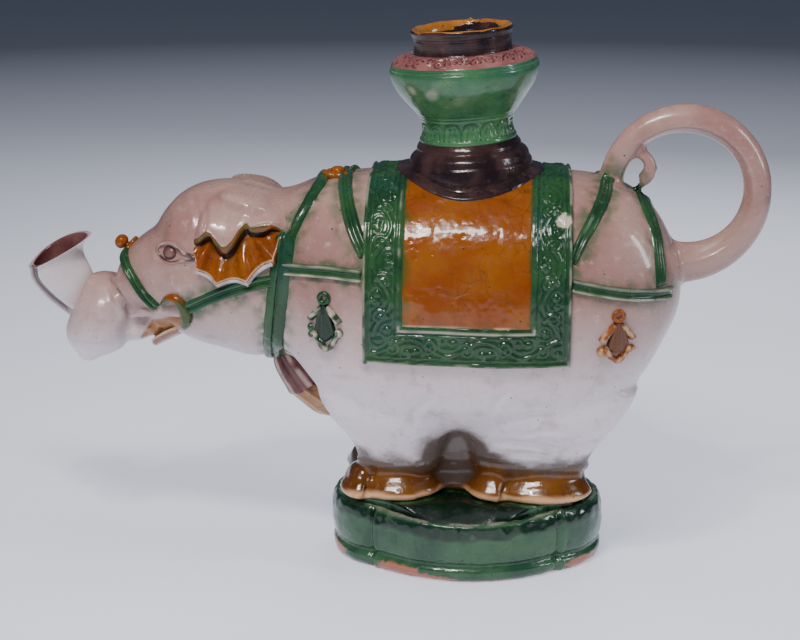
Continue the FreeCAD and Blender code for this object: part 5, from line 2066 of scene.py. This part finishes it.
def makeTassel(plan):
    bm = bmesh.new()
    bmesh.ops.create_uvsphere(bm, u_segments=110, v_segments=70, radius=1)
    cream = marks(bm, "cream")
    turn = math.radians(plan["turn"])
    thick, wide, long = plan["axes"]
    for vert in bm.verts:
        x, y, z = vert.co
        angle = math.atan2(y, x)
        ridge = abs(math.cos(angle * plan["strands"] / 2))
        grow = 1 - 0.10 * ridge ** 0.5 + 0.05 * math.sin(z * 6 + 2 * math.sin(angle))
        grow += 0.05 * noise.noise(Vector((x, y, z)) * 2.6)
        vert[cream] = 0.5 * bump(ridge, 0.25)
        along, up = x * thick * grow, z * long * (1 + 0.05 * z)
        vert.co = (Vector(plan["middle"]) + Vector((
            along * math.cos(turn) - up * math.sin(turn), y * wide * grow,
            along * math.sin(turn) + up * math.cos(turn),
        ))) * mm
    markHollows(bm)
    finishPiece("bellTassel", bm, [tanGlaze], "amber_glaze", ["bell_tassel"])


makeStud("browKnob", knobPlan, ["brow_knob"])
makeStud("napeRosette", rosettePlan, ["nape_rosette"])
for name, plan in pendantPlans.items():
    for sideName, side in sides.items():
        makePendant(name, plan, sideName, side)
makeStud("chestBell", bellPlan, ["chest_bell"], plumGlaze, "aubergine_glaze")
makeTassel(tasselPlan)
print("ornaments are pressed on")


# The skin is finished last, because the glaze of its harness has run onto it

stainAndLightPlan = {
    "mouth": [(-121.6, 87.0), (-104.0, 93.4)], "footHalf": 60, "footReach": 62, "tailSpot": (108.5, -2, 139),
    "trunk": -122,
}


def waveRound(x):
    # Sways the edges of the stains above the feet
    return math.sin(x / 8 + 1)


def markFeet(vert, x, y, z, plan, green, brown, cream, ashAndShade):
    if z > plan["footReach"] or abs(x) > plan["footHalf"]:
        return
    outer = ease((abs(y) - 12) / 3)
    high = ease((50.0 + 1.5 * waveRound(x) - z + 3.5 * noise.noise(vert.co / mm / 9)) / 10)
    # Painted shade in the recess between the legs, under the belly
    deep = ease((32 - abs(y)) / 12) * ease((x + 22) / 9) * ease((14 - x) / 9) * ease((62 - z) / 14)
    vert[brown] = max(high, deep)
    vert[cream] = outer * ease((29.9 - z) / 1.6 + 0.7 * noise.noise(vert.co / mm / 7) + 0.3)
    vert[green] = max(vert[green], 0.85 * ease((27.4 - z) / 0.8))
    # Grey-brown above the toes, and painted shade on the inner side of each foot
    top = 36.8 + 1.8 * waveRound(x) + 2.0 * noise.noise(vert.co / mm / 7)
    vert[ashAndShade] = max(ease((z - top) / 4.4), (1 - outer) * ease((z - 27) / 4))


def mouthAmount(x, y, z, plan):
    if not (-123 < x < -101 and 82 < z < 97 and abs(y) > 3):
        return 0
    (startX, startZ), (endX, endZ) = plan["mouth"]
    off = z - startZ - (x - startX) / (endX - startX) * (endZ - startZ)
    edge = x + 121.7 - (z - 86.4) * 0.7
    return ease(4.2 - abs(off)) * ease(edge / 0.8) * ease((-102.5 - x) / 2)


def markStainsAndPaintedLight(bm, plan):
    green, brown, cream, ashAndShade = marks(bm, "greenBleed", "brownRunAndShade", "cream", "ashAndShade")
    bruise, mouth, pale = marks(bm, "bruise", "mouth", "pale")
    bm.normal_update()
    tree = treeOf([place for place, amount, reach in bleedSpots])
    tailSpot = Vector(plan["tailSpot"])
    for vert in bm.verts:
        x, y, z = vert.co / mm
        for place, index, distance in tree.find_n(vert.co, 3):
            spot, amount, reach = bleedSpots[index]
            ragged = reach * (1 + 0.35 * noise.noise(vert.co / mm / 4))
            vert[green] = max(vert[green], amount * ease(1.5 - distance / mm / ragged))
        markFeet(vert, x, y, z, plan, green, brown, cream, ashAndShade)
        vert[mouth] = mouthAmount(x, y, z, plan)
        # Painted light: the lower trunk whitens, as if lit from the floor below
        if x < plan["trunk"]:
            vert[pale] = 0.55 * ease((88 - z) / 8) * ease((plan["trunk"] - x) / 3)
        vert[bruise] = 0.5 * bump((vert.co / mm - tailSpot).length, 3.2)


def takeFaces(bm, wanted):
    # A copy with only the wanted faces, shaded as if nothing had been cut
    part = bm.copy()
    spare = [face for face in part.faces if not wanted(face.calc_center_median() / mm)]
    bmesh.ops.delete(part, geom=spare, context="FACES")
    return part


def keepShading(piece):
    facing = piece.data.attributes["facing"]
    piece.data.normals_split_custom_set_from_vertices([item.vector for item in facing.data])
    piece.data.attributes.remove(facing)


def isFoot(place):
    edge = footPlan["top"] + 4.4 + 1.8 * waveRound(place.x) - (5.0 if abs(place.y) < 12 else 0)
    return place.z < edge and abs(place.x) < footPlan["half"]


markStainsAndPaintedLight(skinClay, stainAndLightPlan)
markHollows(skinClay)
facing = skinClay.verts.layers.float_vector.new("facing")
for vert in skinClay.verts:
    vert[facing] = vert.normal
feet = takeFaces(skinClay, isFoot)
body = takeFaces(skinClay, lambda place: not isFoot(place))
skinClay.free()
keepShading(finishPiece("elephantSkin", body, [ivoryGlaze], "ivory_glaze", hollowNodes + limbNodes))
keepShading(finishPiece("elephantFeet", feet, [feetGlaze], "amber_glaze", footNodes))
print("elephant skin is glazed")
